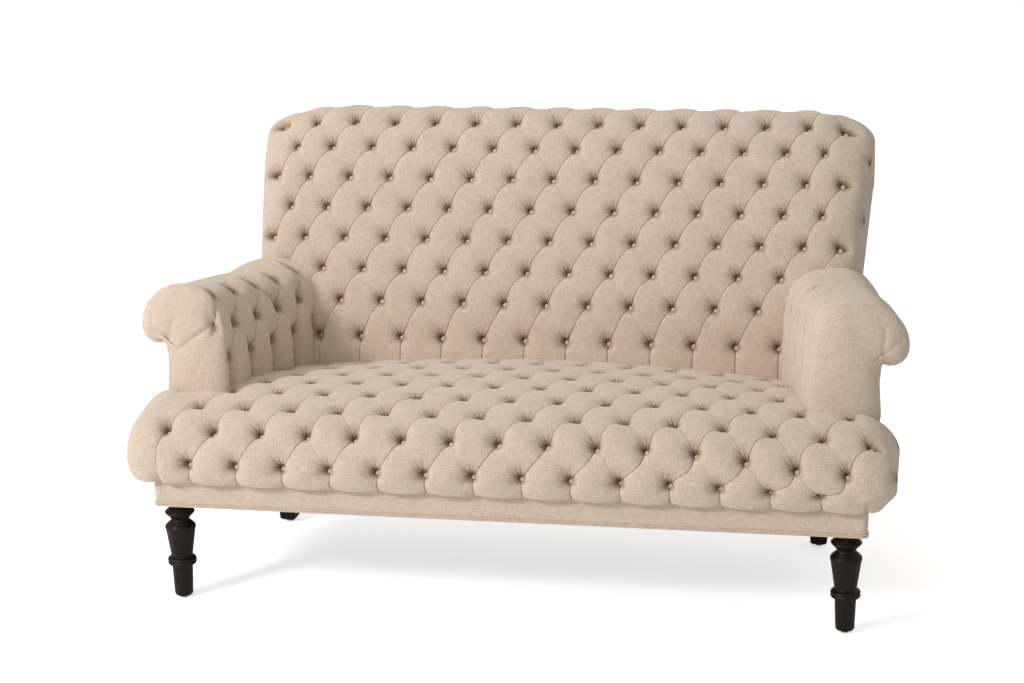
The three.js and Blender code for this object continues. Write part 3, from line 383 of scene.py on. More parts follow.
def quilt(cloth, first, last, place, low, high, low_pleat, high_pleat, sides, side_pleat=3,
          low_loft=None, blend=34, turned_bow=0.0, pleat_slit=2.2):
    """The buttoned sheet over columns first..last, with pleated strips along and beside it.
    place(c, s, lift) puts its points. Gives points, uv, columns c, lengths s, faces and dimples."""
    odd, count, style, rows = cloth.odd, cloth.count, cloth.style, cloth.rows
    a, b, faces = lattice_patch(first, last, count, odd)
    c, r = (a + b) / 2, (a - b) / 2 - odd
    fade = smooth_share(np.minimum(c - first, last - c), 0, 0.9) * smooth_share(
        np.minimum(r, count - r), 0, 0.9)
    far_b, near_b = even_offset(b)
    arch = style["arch"] * (0.5 + hashed(near_b, np.floor(a / 2) + 0.5))
    bow = arch * np.abs(np.sin(math.pi * a / 2)) * (1 - np.abs(far_b)) * fade
    lowest = (1 - smooth_share(r, 0.7, 1.3)) * (turned_bow > 0)
    warped = b - bow * (1 - (1 + turned_bow * smooth_share(c, -6, 10)) * lowest)
    wc, wr = (a + warped) / 2, (a - warped) / 2 - odd
    parts = [(wc, cloth.along(wr), cloth.loft(r) - cloth.drop(a, b), faces)]
    ordered_c = np.unique(np.round(c[r < 1e-4], 6))
    ordered_r = np.unique(np.round(r[c < first + 1e-4], 6))

    def side_fall(edge, row, out):
        fall = cloth.drop(edge + row + odd, edge - row - odd)
        faded = 1 - smooth_share(out, 0, 0.45)
        offset = np.abs(even_offset(edge + row + odd)[0])
        toward = round_fall(offset) + 0.35 * np.clip(1 - offset / 0.04, 0, 1)
        return fall * faded + side_pleat * (1 - np.minimum(out, 1)) * toward * (1 - faded)

    outs = [np.asarray(side, float) for side in sides]
    columns = np.concatenate([first - outs[0][::-1], ordered_c, last + outs[1]])
    inner = np.clip(columns, first, last)
    outward = np.abs(columns - inner)
    for row, reach, pleat, steps in ((0, low, low_pleat, LOW_STEPS), (count, high, high_pleat, HIGH_STEPS)):
        shares = np.linspace(0, 1, steps + 1)
        lengths = rows[row] + (reach - rows[row]) * shares
        base = side_fall(inner, np.full(len(inner), float(row)), outward)
        offset = np.abs(even_offset(inner - row - odd)[0])
        folded = round_fall((offset + 2 * outward) / 0.9)
        slit = np.clip(1 - offset / 0.03, 0, 1) * (outward < 1e-6)
        away = np.abs(lengths - rows[row])[:, None]
        w = smooth_share(away, 0, blend)
        deep = pleat(lengths)[:, None]
        fall = (1 - w) * base[None, :] + w * (deep * folded + pleat_slit * np.minimum(deep, 1) * slit)
        level = np.full((len(lengths), 1), cloth.lofts[row])
        if row == 0 and low_loft is not None:
            level = level + (low_loft - level) * shares[:, None]
        parts.append((np.tile(columns, len(lengths)), np.repeat(lengths, len(columns)),
                      (level - fall).ravel(), strips(len(lengths), len(columns))))
    for edge, sign, out in ((first, -1, outs[0]), (last, 1, outs[1])):
        if not len(out):
            continue
        out = np.concatenate([[0], out])
        rr = np.repeat(ordered_r[None, :], len(out), 0)
        oo = np.repeat(out[:, None], len(ordered_r), 1)
        lift = cloth.loft(rr) - side_fall(edge, rr, oo)
        parts.append(((edge + sign * oo).ravel(), cloth.along(rr).ravel(), lift.ravel(),
                      other_way(strips(len(out), len(ordered_r)))))
    result = dict(points=[], uv=[], c=[], s=[], faces=[], dimples=[])
    shift = 0
    for cc, ss, lift, quads in parts:
        at, flat = place(cc, ss, lift)
        for key, values in (("points", at), ("uv", flat), ("c", cc), ("s", ss)):
            result[key].append(values)
        result["faces"] += [[v + shift for v in face] for face in quads]
        result["dimples"] += [cloth.from_button(cc[face], ss[face]) for face in quads]
        shift += len(at)
    for key in ("points", "uv", "c", "s"):
        result[key] = np.concatenate(result[key])
    return result


def chain(sheet, key, value, other):
    """The sheet's points on one edge, in order along it."""
    chosen = np.where(np.abs(sheet[key] - value) < 1e-4)[0]
    chosen = chosen[np.argsort(sheet[other][chosen])]
    gap = np.diff(sheet[other][chosen])
    return chosen[np.concatenate([[True], gap > 1e-4])]


def extend(sheet, points, uv, faces):
    """Adds plain faces, whose corners count from the first of the new points."""
    start = len(sheet["points"])
    sheet["faces"] += [[start + v for v in face] for face in faces]
    sheet["dimples"] += [np.full((len(face), 2), FAR_AWAY) for face in faces]
    nothing = np.full(len(points), np.nan)
    for key, values in (("points", points), ("uv", uv), ("c", nothing), ("s", nothing)):
        sheet[key] = np.concatenate([sheet[key], values])


def add_rows(sheet, rows):
    """Adds strips of faces through rows of equally many points."""
    points = np.concatenate(rows)
    extend(sheet, points, wall_uv(points), strips(len(rows), len(rows[0])))


def closed_object(name, sheet):
    """The sheet as an object: what meets is welded, and each opening left is closed flat."""
    obj = object_from(name, sheet["points"], sheet["faces"], sheet["uv"], sheet["dimples"])
    with edited(obj) as mesh:
        bmesh.ops.remove_doubles(mesh, verts=mesh.verts, dist=SHEET_WELD)
        rim = [edge for edge in mesh.edges if len(edge.link_faces) == 1]
        made = bmesh.ops.holes_fill(mesh, edges=rim, sides=0)["faces"]
        dimple = mesh.loops.layers.uv["dimple"]
        for face in bmesh.ops.triangulate(mesh, faces=made)["faces"]:
            for loop in face.loops:
                loop[dimple].uv = (FAR_AWAY * MM, FAR_AWAY * MM)
        turn_outward(mesh)
    return obj


def solid(name, rings):
    """A closed bar through rings of equally many points."""
    n = len(rings[0])
    caps = [list(range(n))[::-1], [(len(rings) - 1) * n + k for k in range(n)]]
    points = np.concatenate(rings)
    obj = object_from(name, points, caps + strips(len(rings), n, closed=True), wall_uv(points))
    with edited(obj) as mesh:
        turn_outward(mesh)
    return obj


def only(obj):
    bpy.ops.object.select_all(action="DESELECT")
    obj.select_set(True)
    bpy.context.view_layer.objects.active = obj


def cut(obj, *tools):
    only(obj)
    for tool in tools:
        modifier = obj.modifiers.new("cut", "BOOLEAN")
        modifier.operation = "DIFFERENCE"
        modifier.solver = "MANIFOLD"
        modifier.object = tool
        bpy.ops.object.modifier_apply(modifier=modifier.name)


def drop_tools(*tools):
    for tool in tools:
        bpy.data.objects.remove(tool, do_unlink=True)


def prism_side(name, outline, left, right):
    """A board whose outline is seen from the side, as (y, z)."""
    return solid(name, [np.array([[x, y, z] for y, z in outline]) for x in (left, right)])


def prism_plan(name, outline, low, high):
    """A board whose outline is seen from above, as (x, y)."""
    return solid(name, [np.array([[x, y, z] for x, y in outline]) for z in (low, high)])


def raked_board(name, alongs, insides, left, right):
    """A board square to the back's rake, between two heights and two depths into the frame."""
    (low, high), (rear, front) = alongs, insides
    corners = [raked_point(low, rear), raked_point(low, front),
               raked_point(high, front), raked_point(high, rear)]
    return prism_side(name, corners, left, right)


def all_behind(name, inside, half):
    """A cutter for all that lies behind a depth into the raked frame."""
    return raked_board(name, (-300, 900), (-900, inside), -half, half)


def rectangle(left, right, low, high):
    return [(left, low), (right, low), (right, high), (left, high)]


def disc(centre, radius, count=40):
    return [(centre[0] + radius * math.cos(2 * math.pi * k / count),
             centre[1] + radius * math.sin(2 * math.pi * k / count)) for k in range(count)]


def round_side(size, x, last, half, reach, depth):
    """Past its last column the cloth turns down the side: each x, and how far the cloth falls there."""
    start = np.arcsin(share_of(x, half - reach, half))
    turn = start + (math.pi / 2 - start) * np.clip(size - last, 0, 1)
    x = np.where(size > last, half - reach * (1 - np.sin(turn)), x)
    return x, depth * (1 - np.sqrt(1 - share_of(x, half - reach, half) ** 2))


# the back

BACK_STYLE = dict(slash=4.5, slash_end=9, soft=2.2, soft_end=8, sink=8, pit_near=7, pit_far=19,
                  slit=4.5, gather=1.4, arch=0.15)
BACK_SIDES = [np.linspace(0, 1, 15)[1:]] * 2
BACK_FOOT_WIDTH, BACK_WIDER_ABOVE = 1566, 66
BACK_SIDE_DEPTH = 80
BACK_FOLD, SCROLL_FOLD = 8.0, 5.0


def back_place(c, s, lift):
    half = (BACK_FOOT_WIDTH + BACK_WIDER_ABOVE * share_of(s, 0, CREST)) / 2
    half = half - np.where(c < 0, 12, 6 * (1 - smooth_share(s, 560, 640)))
    reach = 100 + np.where(c < 0, 150, 85) * share_of(s, UPPER_CURVE_START, CREST)
    size = np.abs(c)
    tufted = np.minimum(size, BACK_LAST)
    x = (np.minimum(tufted, 12) + 0.8 * np.maximum(tufted - 12, 0)) * BACK_PITCH / 2
    x, inset = round_side(size, x, BACK_LAST, half, reach, BACK_SIDE_DEPTH)
    inset = inset * (1 - smooth_share(s, BACK_END - 130, BACK_END - 15))
    y, z, out_y, out_z = back_line(s)
    lift = lift - inset
    points = np.stack([np.sign(c) * x, y + out_y * lift, z + out_z * lift], -1)
    return points, np.stack([np.sign(c) * (x + inset * 0.6), s], -1)


back_cloth = Cloth(BACK_ROWS, [BACK_LOFT] * 9, 1, BACK_PITCH, BACK_STYLE)


def make_back():
    """The buttoned front and scroll, and a plain sheet down the frame behind them."""
    sheet = quilt(back_cloth, -BACK_LAST, BACK_LAST, back_place, 0, BACK_END,
                  lambda s: np.full(len(s), BACK_FOLD), lambda s: np.full(len(s), SCROLL_FOLD),
                  BACK_SIDES, side_pleat=6)
    low, high = (sheet["points"][chain(sheet, "s", s, "c")] for s in (0, BACK_END))
    behind = [high]
    for share in np.linspace(0, 1, 9):
        row = high + (low - high) * share
        z = high[:, 2] + (BACK_START[1] - high[:, 2]) * share
        row[:, 1], row[:, 2] = raked_y(FRAME_INSIDE, z), z
        behind.append(row)
    add_rows(sheet, behind + [low])
    return closed_object("back_upholstery", sheet)


# the seat

SEAT_STYLE = dict(slash=6, slash_end=10, soft=2.5, soft_end=8, sink=8, pit_near=8, pit_far=18,
                  slit=4.5, gather=1.4, arch=0.27, ease=([2, 3.5], [1, 0.58]))
SEAT_MISSING = {(15, 0): 0, (-15, 0): 1, (-15, 2): 0, (-15, 4): 0, (-15, 6): 0}
SEAT_SIDES = [np.linspace(0, 1, 13)[1:]] * 2
SEAT_SLIP = 38
SEAT_REAR_FOLD = 6.0
seat_cloth = Cloth(SEAT_ROWS, SEAT_LOFTS, 1, SEAT_PITCH, SEAT_STYLE, SEAT_MISSING)


def seat_place(c, s, lift):
    size = np.abs(c)
    tufted = np.minimum(size, SEAT_LAST)
    low_front = smooth_share(s, 10, 120) * (1 - smooth_share(s, 240, 480))
    s = s - SEAT_SLIP * smooth_share(c, 6, 14.5) * low_front
    last_step = 0.8 - np.where(c < 0, 0.5, 0) * (1 - smooth_share(s, 45, 122))
    x = (np.minimum(tufted, 14) + last_step * np.maximum(tufted - 14, 0)) * SEAT_PITCH / 2
    x, inset = round_side(size, x, SEAT_LAST, SEAT_HALF, SEAT_REACH, SEAT_EDGE_DEPTH)
    y, z, out_y, out_z = seat_line(s)
    lift = lift - inset
    y = y + out_y * lift
    z = z + out_z * lift
    z = z - SEAT_SIDE_SINK * np.minimum(x / ARM_X, 1) ** 2 * share_of(y, ARM_FRONT_Y, BACK_START[0])
    hang = 1 - share_of(s, 0, 50)
    scallop = 1 - round_fall(np.abs(even_offset(c - 1)[0]))
    end = share_of(x, 800, SEAT_HALF)
    z = z + (13 - 6 * scallop) * hang ** 0.7 * (1 - 0.8 * end)
    z = z - np.where(c > 0, 26, 0) * end ** 1.5 * smooth_share(s, 100, 200)
    x = x - np.where(c > 0, 24, 0) * end ** 2 * (1 - smooth_share(s, -5, 55))
    return np.stack([np.sign(c) * x, y, z], -1), np.stack([np.sign(c) * (x + inset * 0.6), s], -1)


def seat_meeting(along, lift):
    y, z, out_y, out_z = back_line(along)
    return [float(y + out_y * lift), float(z + out_z * lift)]


BASE_FRONT = 38
BASE_FRONT_WIDTH, BASE_REAR_WIDTH = 1694, 1534
BASE_TAPER = (BASE_FRONT_WIDTH - BASE_REAR_WIDTH) / 2 / (REAR_RAIL_Y + BASE_FRONT)


def base_x(y, out=0):
    """Half the base's width at y, moved out."""
    return BASE_FRONT_WIDTH / 2 - (y + BASE_FRONT) * BASE_TAPER + out * math.hypot(1, BASE_TAPER)


def base_outline(out, rear_y, corner=9, steps=1):
    """The base in plan, moved out, from its rear left corner round the front."""
    face = -BASE_FRONT - out
    x = base_x(face, out)
    right = []
    for step in range(steps + 1):
        turn = math.pi / 2 * step / steps
        right.append([x - corner * (1 - math.sin(turn)), face + corner * (1 - math.cos(turn))])
    right.append([base_x(rear_y, out), rear_y])
    return [[-px, py] for px, py in right[::-1]] + right


def make_seat():
    """The buttoned top and front edge, closed by a flat rear and underside."""
    sheet = quilt(seat_cloth, -SEAT_LAST, SEAT_LAST, seat_place, 0, SEAT_END,
                  lambda s: 9 - 5 * share_of(s, 0, 50), lambda s: np.full(len(s), SEAT_REAR_FOLD),
                  SEAT_SIDES, low_loft=SEAT_LIP_LOFT, turned_bow=1.1)
    low, high = (sheet["points"][chain(sheet, "s", s, "c")] for s in (0, SEAT_END))
    foot = high.copy()
    foot[:, 2] = low[:, 2]
    add_rows(sheet, [high, (high + foot) / 2, foot, (foot + low) / 2, low])
    return closed_object("seat_upholstery", sheet)


# the arms

ARM_STYLE = dict(slash=7, slash_end=12, soft=6, soft_end=12, sink=14, pit_near=11, pit_far=16,
                 slit=4, gather=1.4, arch=0.2)
ARM_FRONT_STEP = 40.0
ARM_FRONT_AT = 30
ARM_DOME = 40
ARM_DOME_REACH = 75
ARM_RING_INSETS = [2, 5, 9, 14, 20, 26]
ARM_FRONT_GRID = 4.5
ARM_REAR_OUTS = [0.1, 0.25, 0.45, 0.7, 1, 2]
WORN_ARM_STYLE = dict(slash=1.6, slash_end=3, soft=0.7, soft_end=2, sink=-12, pit_near=8, pit_far=12,
                      slit=1.8, gather=0.5, arch=0.25)
arm_cloths = {"left": Cloth(ARM_ROWS, [ARM_LOFT] * 3, 0, ARM_PITCH, ARM_STYLE),
              # on the right arm the painted shade and gathers round the buttons are shrunk to small spots
              "right": Cloth(ARM_ROWS, [ARM_LOFT] * 3, 0, ARM_PITCH, WORN_ARM_STYLE, {(-1, 1): 0},
                       gather_and_shade_shrink=2.5)}
ARM_PLEATS = {"left": (32, 8), "right": (4, 2)}
ARM_WALL_Z = [ARM_BOTTOM, 400, 480, 560, 600]
ARM_WALL_X_AT = [ARM_FOOT_X, 74, 87, 82, ARM_OUTER_X]


def dome_turn(y):
    return np.arcsin(np.clip((ARM_FRONT_AT - y) / ARM_DOME, 0, 1))


def arm_point(sign, x, y, z):
    x, y, z = np.broadcast_arrays(*(np.asarray(v, float) for v in (x, y, z)))
    back = y / ARM_REACH
    high = share_of(z, ARM_WAIST, ARM_TOP)
    wall = share_of(ROLL_CENTRE[0] - x, 0, ROLL_CENTRE[0] - ARM_WALL_X)
    x = x - ARM_WALL_SPREAD * back * wall
    cos, sin = math.cos(rad(ARM_FLARE)), math.sin(rad(ARM_FLARE))
    return np.stack([sign * (ARM_X + x * cos - y * sin), ARM_FRONT_Y + x * sin + y * cos,
                     z - ARM_BACK_DROP * back * high], -1)


def skin_point(sign, x, y, z):
    """The cloth's own place: its top dips between the front and the back frame, and narrows there."""
    x, y, z = np.broadcast_arrays(*(np.asarray(v, float) for v in (x, y, z)))
    back = y / ARM_REACH
    high = share_of(z, ARM_WAIST, ARM_TOP)
    if sign < 0:
        dip = 4 + 9 * smooth_share(back, 0, 0.15) - 20 * smooth_share(back, 0.78, 1.05)
        dip = dip + 8 * share_of(x - ROLL_CENTRE[0], 10, 90) * (1 - smooth_share(back, 0, 0.4))
    else:
        dip = 9 - 25 * smooth_share(back, 0.7, 1.05)
    outer = np.maximum(x - ROLL_CENTRE[0], 0) * 0.25 * smooth_share(back, 0.5, 1) * high
    return arm_point(sign, x - outer, y, z - dip * high)


def arm_depth(c):
    """How far back a column stands: two more turns carry the last strip to the back frame."""
    y = ARM_FIRST + np.where(c < 0, ARM_FRONT_STEP, ARM_PITCH / 2) * np.minimum(c, ARM_LAST + 1)
    return y + np.clip(c - ARM_LAST - 1, 0, 1) * (ARM_FAR_Y - ARM_FIRST - (ARM_LAST + 1) * ARM_PITCH / 2)


def dome_depth(inset):
    return ARM_FRONT_AT - ARM_DOME * math.sin(math.acos(1 - inset / ARM_DOME_REACH))


def domed(sign, x, z, out_x, out_z, y, lift, push=0):
    """A point that stands lift above the skin's buttons, where the front rounds off."""
    turn = dome_turn(y)
    inset = ARM_DOME_REACH * (1 - np.cos(turn))
    side, front = ARM_DOME * np.cos(turn), ARM_DOME_REACH * np.sin(turn)
    size = np.hypot(side, front)
    fall = ARM_LOFT - lift
    across = ARM_LOFT - inset - fall * side / size
    return skin_point(sign, x + out_x * across, y + fall * front / size + push, z + out_z * across)


def arm_place_for(sign):
    def place(c, s, lift):
        x, z, out_x, out_z = arm_line(s)
        y = arm_depth(c)
        points = domed(sign, x, z, out_x, out_z, y, lift)
        return points, np.stack([y, s + 0 * y], -1)
    return place


def arm_wall_points():
    """The plain outer side in section, from the end of the roll down to the foot."""
    x, z, out_x, out_z = arm_line(ARM_END)
    tip = (float(x + out_x * ARM_LOFT), float(z + out_z * ARM_LOFT))
    corners = [tip] + [(x, z) for x, z in zip(ARM_WALL_X_AT, ARM_WALL_Z) if z < tip[1] - 12][::-1]
    points = []
    for (x0, z0), (x1, z1) in zip(corners, corners[1:]):
        steps = max(2, round((z0 - z1) / 10))
        for step in range(steps):
            share = step / steps
            points.append((x0 + (x1 - x0) * share, z0 + (z1 - z0) * share))
    return np.array(points[1:] + [corners[-1]])


# the folds on the arms' fronts: ends as (x, z), depths at the ends and width
FRONT_CREASES = {
    "left": [((-42, 654), (40, 592), 8, 4, 8), ((40, 592), (78, 598), 4, 3, 9),
             ((44, 672), (72, 614), 2.5, 3.5, 8), ((106, 680), (104, 632), 2.5, 2, 8),
             ((-36, 590), (-10, 540), 1, 2.5, 9), ((-30, 560), (-34, 470), 2, 1, 12)],
    "right": [((76, 722), (90, 694), 2, 3, 7), ((90, 694), (86, 640), 3, 4, 7),
              ((140, 706), (128, 672), 2.5, 3, 7), ((128, 672), (84, 634), 3, 5, 8),
              ((40, 640), (88, 622), 1.5, 4, 9), ((-2, 650), (-40, 628), 1, 2.5, 6),
              ((-40, 628), (-38, 600), 2.5, 1, 6)],
}


def front_creases(side, flat):
    fall = np.zeros(len(flat))
    for start, end, deep, shallow, width in FRONT_CREASES[side]:
        start, run = np.array(start, float), np.array(end, float) - start
        t = np.clip(((flat - start) @ run) / (run @ run), 0, 1)
        gap = np.linalg.norm(flat - start - t[:, None] * run, axis=1)
        here = deep + (shallow - deep) * t
        fall = np.maximum(fall, here * (np.exp(-(gap / width) ** 2) + 0.5 * np.clip(1 - gap / 4, 0, 1)))
    return fall


def inside_loop(points, loop):
    """Tells which points lie inside a closed loop, by the edges that they have to their right."""
    x, z = points[:, 0], points[:, 1]
    inside = np.zeros(len(points), bool)
    for (x0, z0), (x1, z1) in zip(loop, np.roll(loop, -1, 0)):
        crosses = (z0 > z) != (z1 > z)
        with np.errstate(divide="ignore", invalid="ignore"):
            at = (x1 - x0) * (z - z0) / (z1 - z0) + x0
        inside ^= crosses & (x < at)
    return inside


def gap_to(points, line):
    """How far each point is from an open line."""
    starts, run = line[:-1], line[1:] - line[:-1]
    offset = points[:, None, :] - starts[None]
    t = np.clip((offset * run).sum(-1) / np.maximum((run ** 2).sum(-1), 1e-9), 0, 1)
    gap = offset - run[None] * t[..., None]
    return np.sqrt((gap ** 2).sum(-1)).min(1)


def add_front_rings(sheet, side, sign, along, wall, rim):
    """Rings that follow the arm's outline inwards over the dome of its front, from the rim. Gives
    the outline, the innermost ring and its depth."""
    x, z, out_x, out_z = arm_line(along)
    outline = np.concatenate([np.stack([x + out_x * ARM_LOFT, z + out_z * ARM_LOFT], -1), wall])
    normals = np.concatenate([np.stack([out_x, out_z], -1), np.tile([1.0, 0.0], (len(wall), 1))])
    joint = len(along)
    normals[joint - 1] = normals[joint - 1] * 0.6 + np.array([0.4, 0])
    first_inset = ARM_DOME_REACH * (1 - math.cos(float(dome_turn(ARM_FIRST - ARM_FRONT_STEP))))
    row_of = np.interp(along, ARM_ROWS, [0, 1, 2])
    plain = (along < ARM_ROWS[0]) | (along > ARM_ROWS[2])
    line = outline - normals * ARM_LOFT
    rings = [rim]
    for more in ARM_RING_INSETS:
        inner = outline - normals * (first_inset + more)
        depth = dome_depth(first_inset + more)
        fall = np.zeros(len(outline))
        column = -1 - more / ARM_FRONT_STEP
        drops = arm_cloths[side].drop(column + row_of, column - row_of)
        fall[:joint] = np.where(plain, 0, drops) * (1 - smooth_share(more, 0, ARM_RING_INSETS[-1]))
        rings.append(domed(sign, line[:, 0], line[:, 1], normals[:, 0], normals[:, 1],
                           np.full(len(inner), depth), ARM_LOFT - fall, front_creases(side, inner)))
    add_rows(sheet, rings)
    return outline, inner, depth


def fill_front(sheet, side, sign, outline, inner, rim_depth):
    """Fills the front inside the innermost ring with triangles that follow the dome."""
    floor_x = np.arange(inner[-1][0] - 8, inner[0][0] + 4, -8)
    loop = np.concatenate([inner, np.stack([floor_x, np.full(len(floor_x), ARM_BOTTOM)], -1)])
    grid_x, grid_z = np.meshgrid(np.arange(-90, 150, ARM_FRONT_GRID),
                                 np.arange(ARM_BOTTOM + 4, ARM_TOP, ARM_FRONT_GRID))
    seeds = np.stack([grid_x.ravel(), grid_z.ravel()], -1)
    near_loop = np.sqrt(((seeds[:, None] - loop[None]) ** 2).sum(-1)).min(1)
    seeds = seeds[(near_loop > 3.2) & inside_loop(seeds, loop)]
    edges = [(k, (k + 1) % len(loop)) for k in range(len(loop))]
    corners = [Vector(p) for p in np.concatenate([loop, seeds]).tolist()]
    made = delaunay_2d_cdt(corners, edges, [], 1, 1e-5)
    flat = np.array([list(p) for p in made[0]])
    gap = np.minimum(gap_to(flat, outline), ARM_DOME_REACH)
    depth = ARM_FRONT_AT - ARM_DOME * np.sqrt(1 - (1 - gap / ARM_DOME_REACH) ** 2)
    for k, sources in enumerate(made[3]):
        if sources and min(sources) < len(inner):
            depth[k] = rim_depth
    depth = depth + front_creases(side, flat)
    extend(sheet, skin_point(sign, flat[:, 0], depth, flat[:, 1]), flat, made[2])


def make_arm(side, sign):
    """The buttoned inside and roll, the plain outer side, and the domed front."""
    low_pleat, high_pleat = ARM_PLEATS[side]
    sheet = quilt(arm_cloths[side], -1, ARM_LAST, arm_place_for(sign), 0, ARM_END,
                  lambda s: np.full(len(s), float(low_pleat)),
                  lambda s: high_pleat * (1 - smooth_share(s, 410, 500)), [[], ARM_REAR_OUTS])
    wall = arm_wall_points()
    foot = chain(sheet, "s", 0, "c")
    depths = arm_depth(np.sort(sheet["c"][foot]))
    rows = [sheet["points"][chain(sheet, "s", ARM_END, "c")]]
    rows += [domed(sign, x - ARM_LOFT, z, 1, 0, depths, ARM_LOFT) for x, z in wall]
    add_rows(sheet, rows)
    add_rows(sheet, [rows[-1], sheet["points"][foot]])
    edge = chain(sheet, "c", -1, "s")
    rim = np.concatenate([sheet["points"][edge], np.stack([row[0] for row in rows[1:]])])
    outline, inner, depth = add_front_rings(sheet, side, sign, sheet["s"][edge], wall, rim)
    fill_front(sheet, side, sign, outline, inner, depth)
    return closed_object("arm_upholstery_" + side, sheet)


def arm_bar(name, sign, section, front, back):
    """A cutter that runs along the arm, with the same section all the way."""
    xs, zs = zip(*section)
    return solid(name, [arm_point(sign, xs, y, zs) for y in (front, back)])


TRENCH_X = ARM_WALL_X + 70
TRENCH_TOP = ROLL_CENTRE[1] - 60
POST_FRONT = 40 + GAP
POST_BACK = POST_FRONT + 32
RAIL_LEFT, RAIL_RIGHT = ROLL_CENTRE[0] - 17, ROLL_CENTRE[0] + 17
RAIL_HIGH = TRENCH_TOP + 36
ARM_CUT_FRONT = 40
BOARD_RADIUS, ROLL_CORE_RADIUS = 40, 22
BETWEEN_ARMS, PAST_ALL = 784, 1200
POSTS_HALF, POSTS_TOP = 770.3, 667.6
CORE_AT, CORE_RADIUS, CORE_HALF = (861.4, 989.7), 36.3, 750.3
DECK_FRONT, DECK_REAR, DECK_TOP, DECK_HALF = -28.2, 595.2, 375.3, 589.8
SEAT_LOFT_AT_BACK = 12
ARM_SPACE_X, ARM_SPACE_Y = 767.3, 117.7

arms = {side: make_arm(side, sign) for side, sign in SIDES.items()}
back = make_back()
seat = make_seat()

behind_frame = all_behind("behind_frame", HESSIAN_FRONT + GAP, BETWEEN_ARMS)
behind_all = all_behind("behind_all", FRAME_INSIDE, PAST_ALL)
for arm in arms.values():
    cut(arm, behind_frame, behind_all)

post_space = raked_board("post_space", (-5, POSTS_TOP), (-5, HESSIAN_FRONT + GAP), -POSTS_HALF, POSTS_HALF)
core_space = prism_side("core_space", disc(CORE_AT, CORE_RADIUS), -CORE_HALF, CORE_HALF)
wings = [arm_bar("wing_space", sign, rectangle(TRENCH_X, ARM_X, RAIL_TOP, TRENCH_TOP),
                 ARM_CUT_FRONT, ARM_FAR_Y) for sign in SIDES.values()]
cut(back, post_space, core_space, *arms.values(), *wings)

base_space = prism_plan("base_space", base_outline(2 * GAP + COVER, BACK_FACE_Y), 0, ARM_BOTTOM)
deck_space = prism_side("deck_space", [(DECK_FRONT, 0), (DECK_FRONT, DECK_TOP), (DECK_REAR, DECK_TOP),
                                       (DECK_REAR, 0)], -DECK_HALF, DECK_HALF)
low_meeting, high_meeting = (seat_meeting(along, SEAT_LOFT_AT_BACK) for along in (0, BACK_RUNS[0][0]))
back_space = prism_side("back_space", [
    low_meeting, high_meeting, (900, high_meeting[1]), (900, BACK_START[1] - GAP),
    (low_meeting[0], BACK_START[1] - GAP)], -1000, 1000)
ears = [prism_plan("ear_space", [(sign * x, y) for x, y in rectangle(ARM_SPACE_X, 1700, ARM_SPACE_Y, 1500)],
                   0, 900) for sign in SIDES.values()]
cut(seat, base_space, deck_space, back_space, *arms.values(), *ears)
cut(seat, back)

rail_xs = RAIL_LEFT - GAP, RAIL_RIGHT + GAP
core_centre = (ROLL_CENTRE[0], RAIL_HIGH + GAP + ROLL_CORE_RADIUS)
post_depths, rail_depths = (ARM_CUT_FRONT, POST_BACK + GAP), (POST_BACK, ARM_FAR_Y)
arm_sections = [
    ("trench", rectangle(TRENCH_X, 110, RAIL_TOP - 5, TRENCH_TOP), (ARM_CUT_FRONT, ARM_FAR_Y + 5)),
    ("neck", rectangle(*rail_xs, ARM_WAIST, ROLL_CENTRE[1] + GAP), post_depths),
    ("board", disc(ROLL_CENTRE, BOARD_RADIUS + GAP), post_depths),
    ("rail", rectangle(*rail_xs, TRENCH_TOP - GAP, RAIL_HIGH + GAP), rail_depths),
    ("core", disc(core_centre, ROLL_CORE_RADIUS + GAP), rail_depths),
]
for side, arm in arms.items():
    spaces = [arm_bar(name, SIDES[side], section, *depths) for name, section, depths in arm_sections]
    cut(arm, *spaces)
    drop_tools(*spaces)
drop_tools(behind_frame, behind_all, post_space, core_space, *wings,
           base_space, deck_space, back_space, *ears)


# covered buttons, each one low dome

BUTTON_RADIUS = 6.2
BUTTON_SEAT = 2.2
BUTTON_RINGS = [(1, -4), (1, 0), (0.93, 1.5), (0.7, 2.8), (0.35, 3.6)]
BUTTON_TOP = 3.8
BUTTON_SIDES = 12


def button_level(cloth, column, row):
    """How high the cloth stands, on average, on a ring as wide as the button."""
    turn = np.linspace(0, 2 * math.pi, 16, endpoint=False)
    dc = BUTTON_RADIUS * np.cos(turn) / (cloth.pitch / 2)
    dr = BUTTON_RADIUS * np.sin(turn) / float(cloth.span(row))
    c, r = column + dc, np.clip(row + dr, 0, cloth.count)
    lift = cloth.loft(r) - cloth.drop(c + r + cloth.odd, c - r - cloth.odd)
    return float(lift.mean()) - BUTTON_SEAT


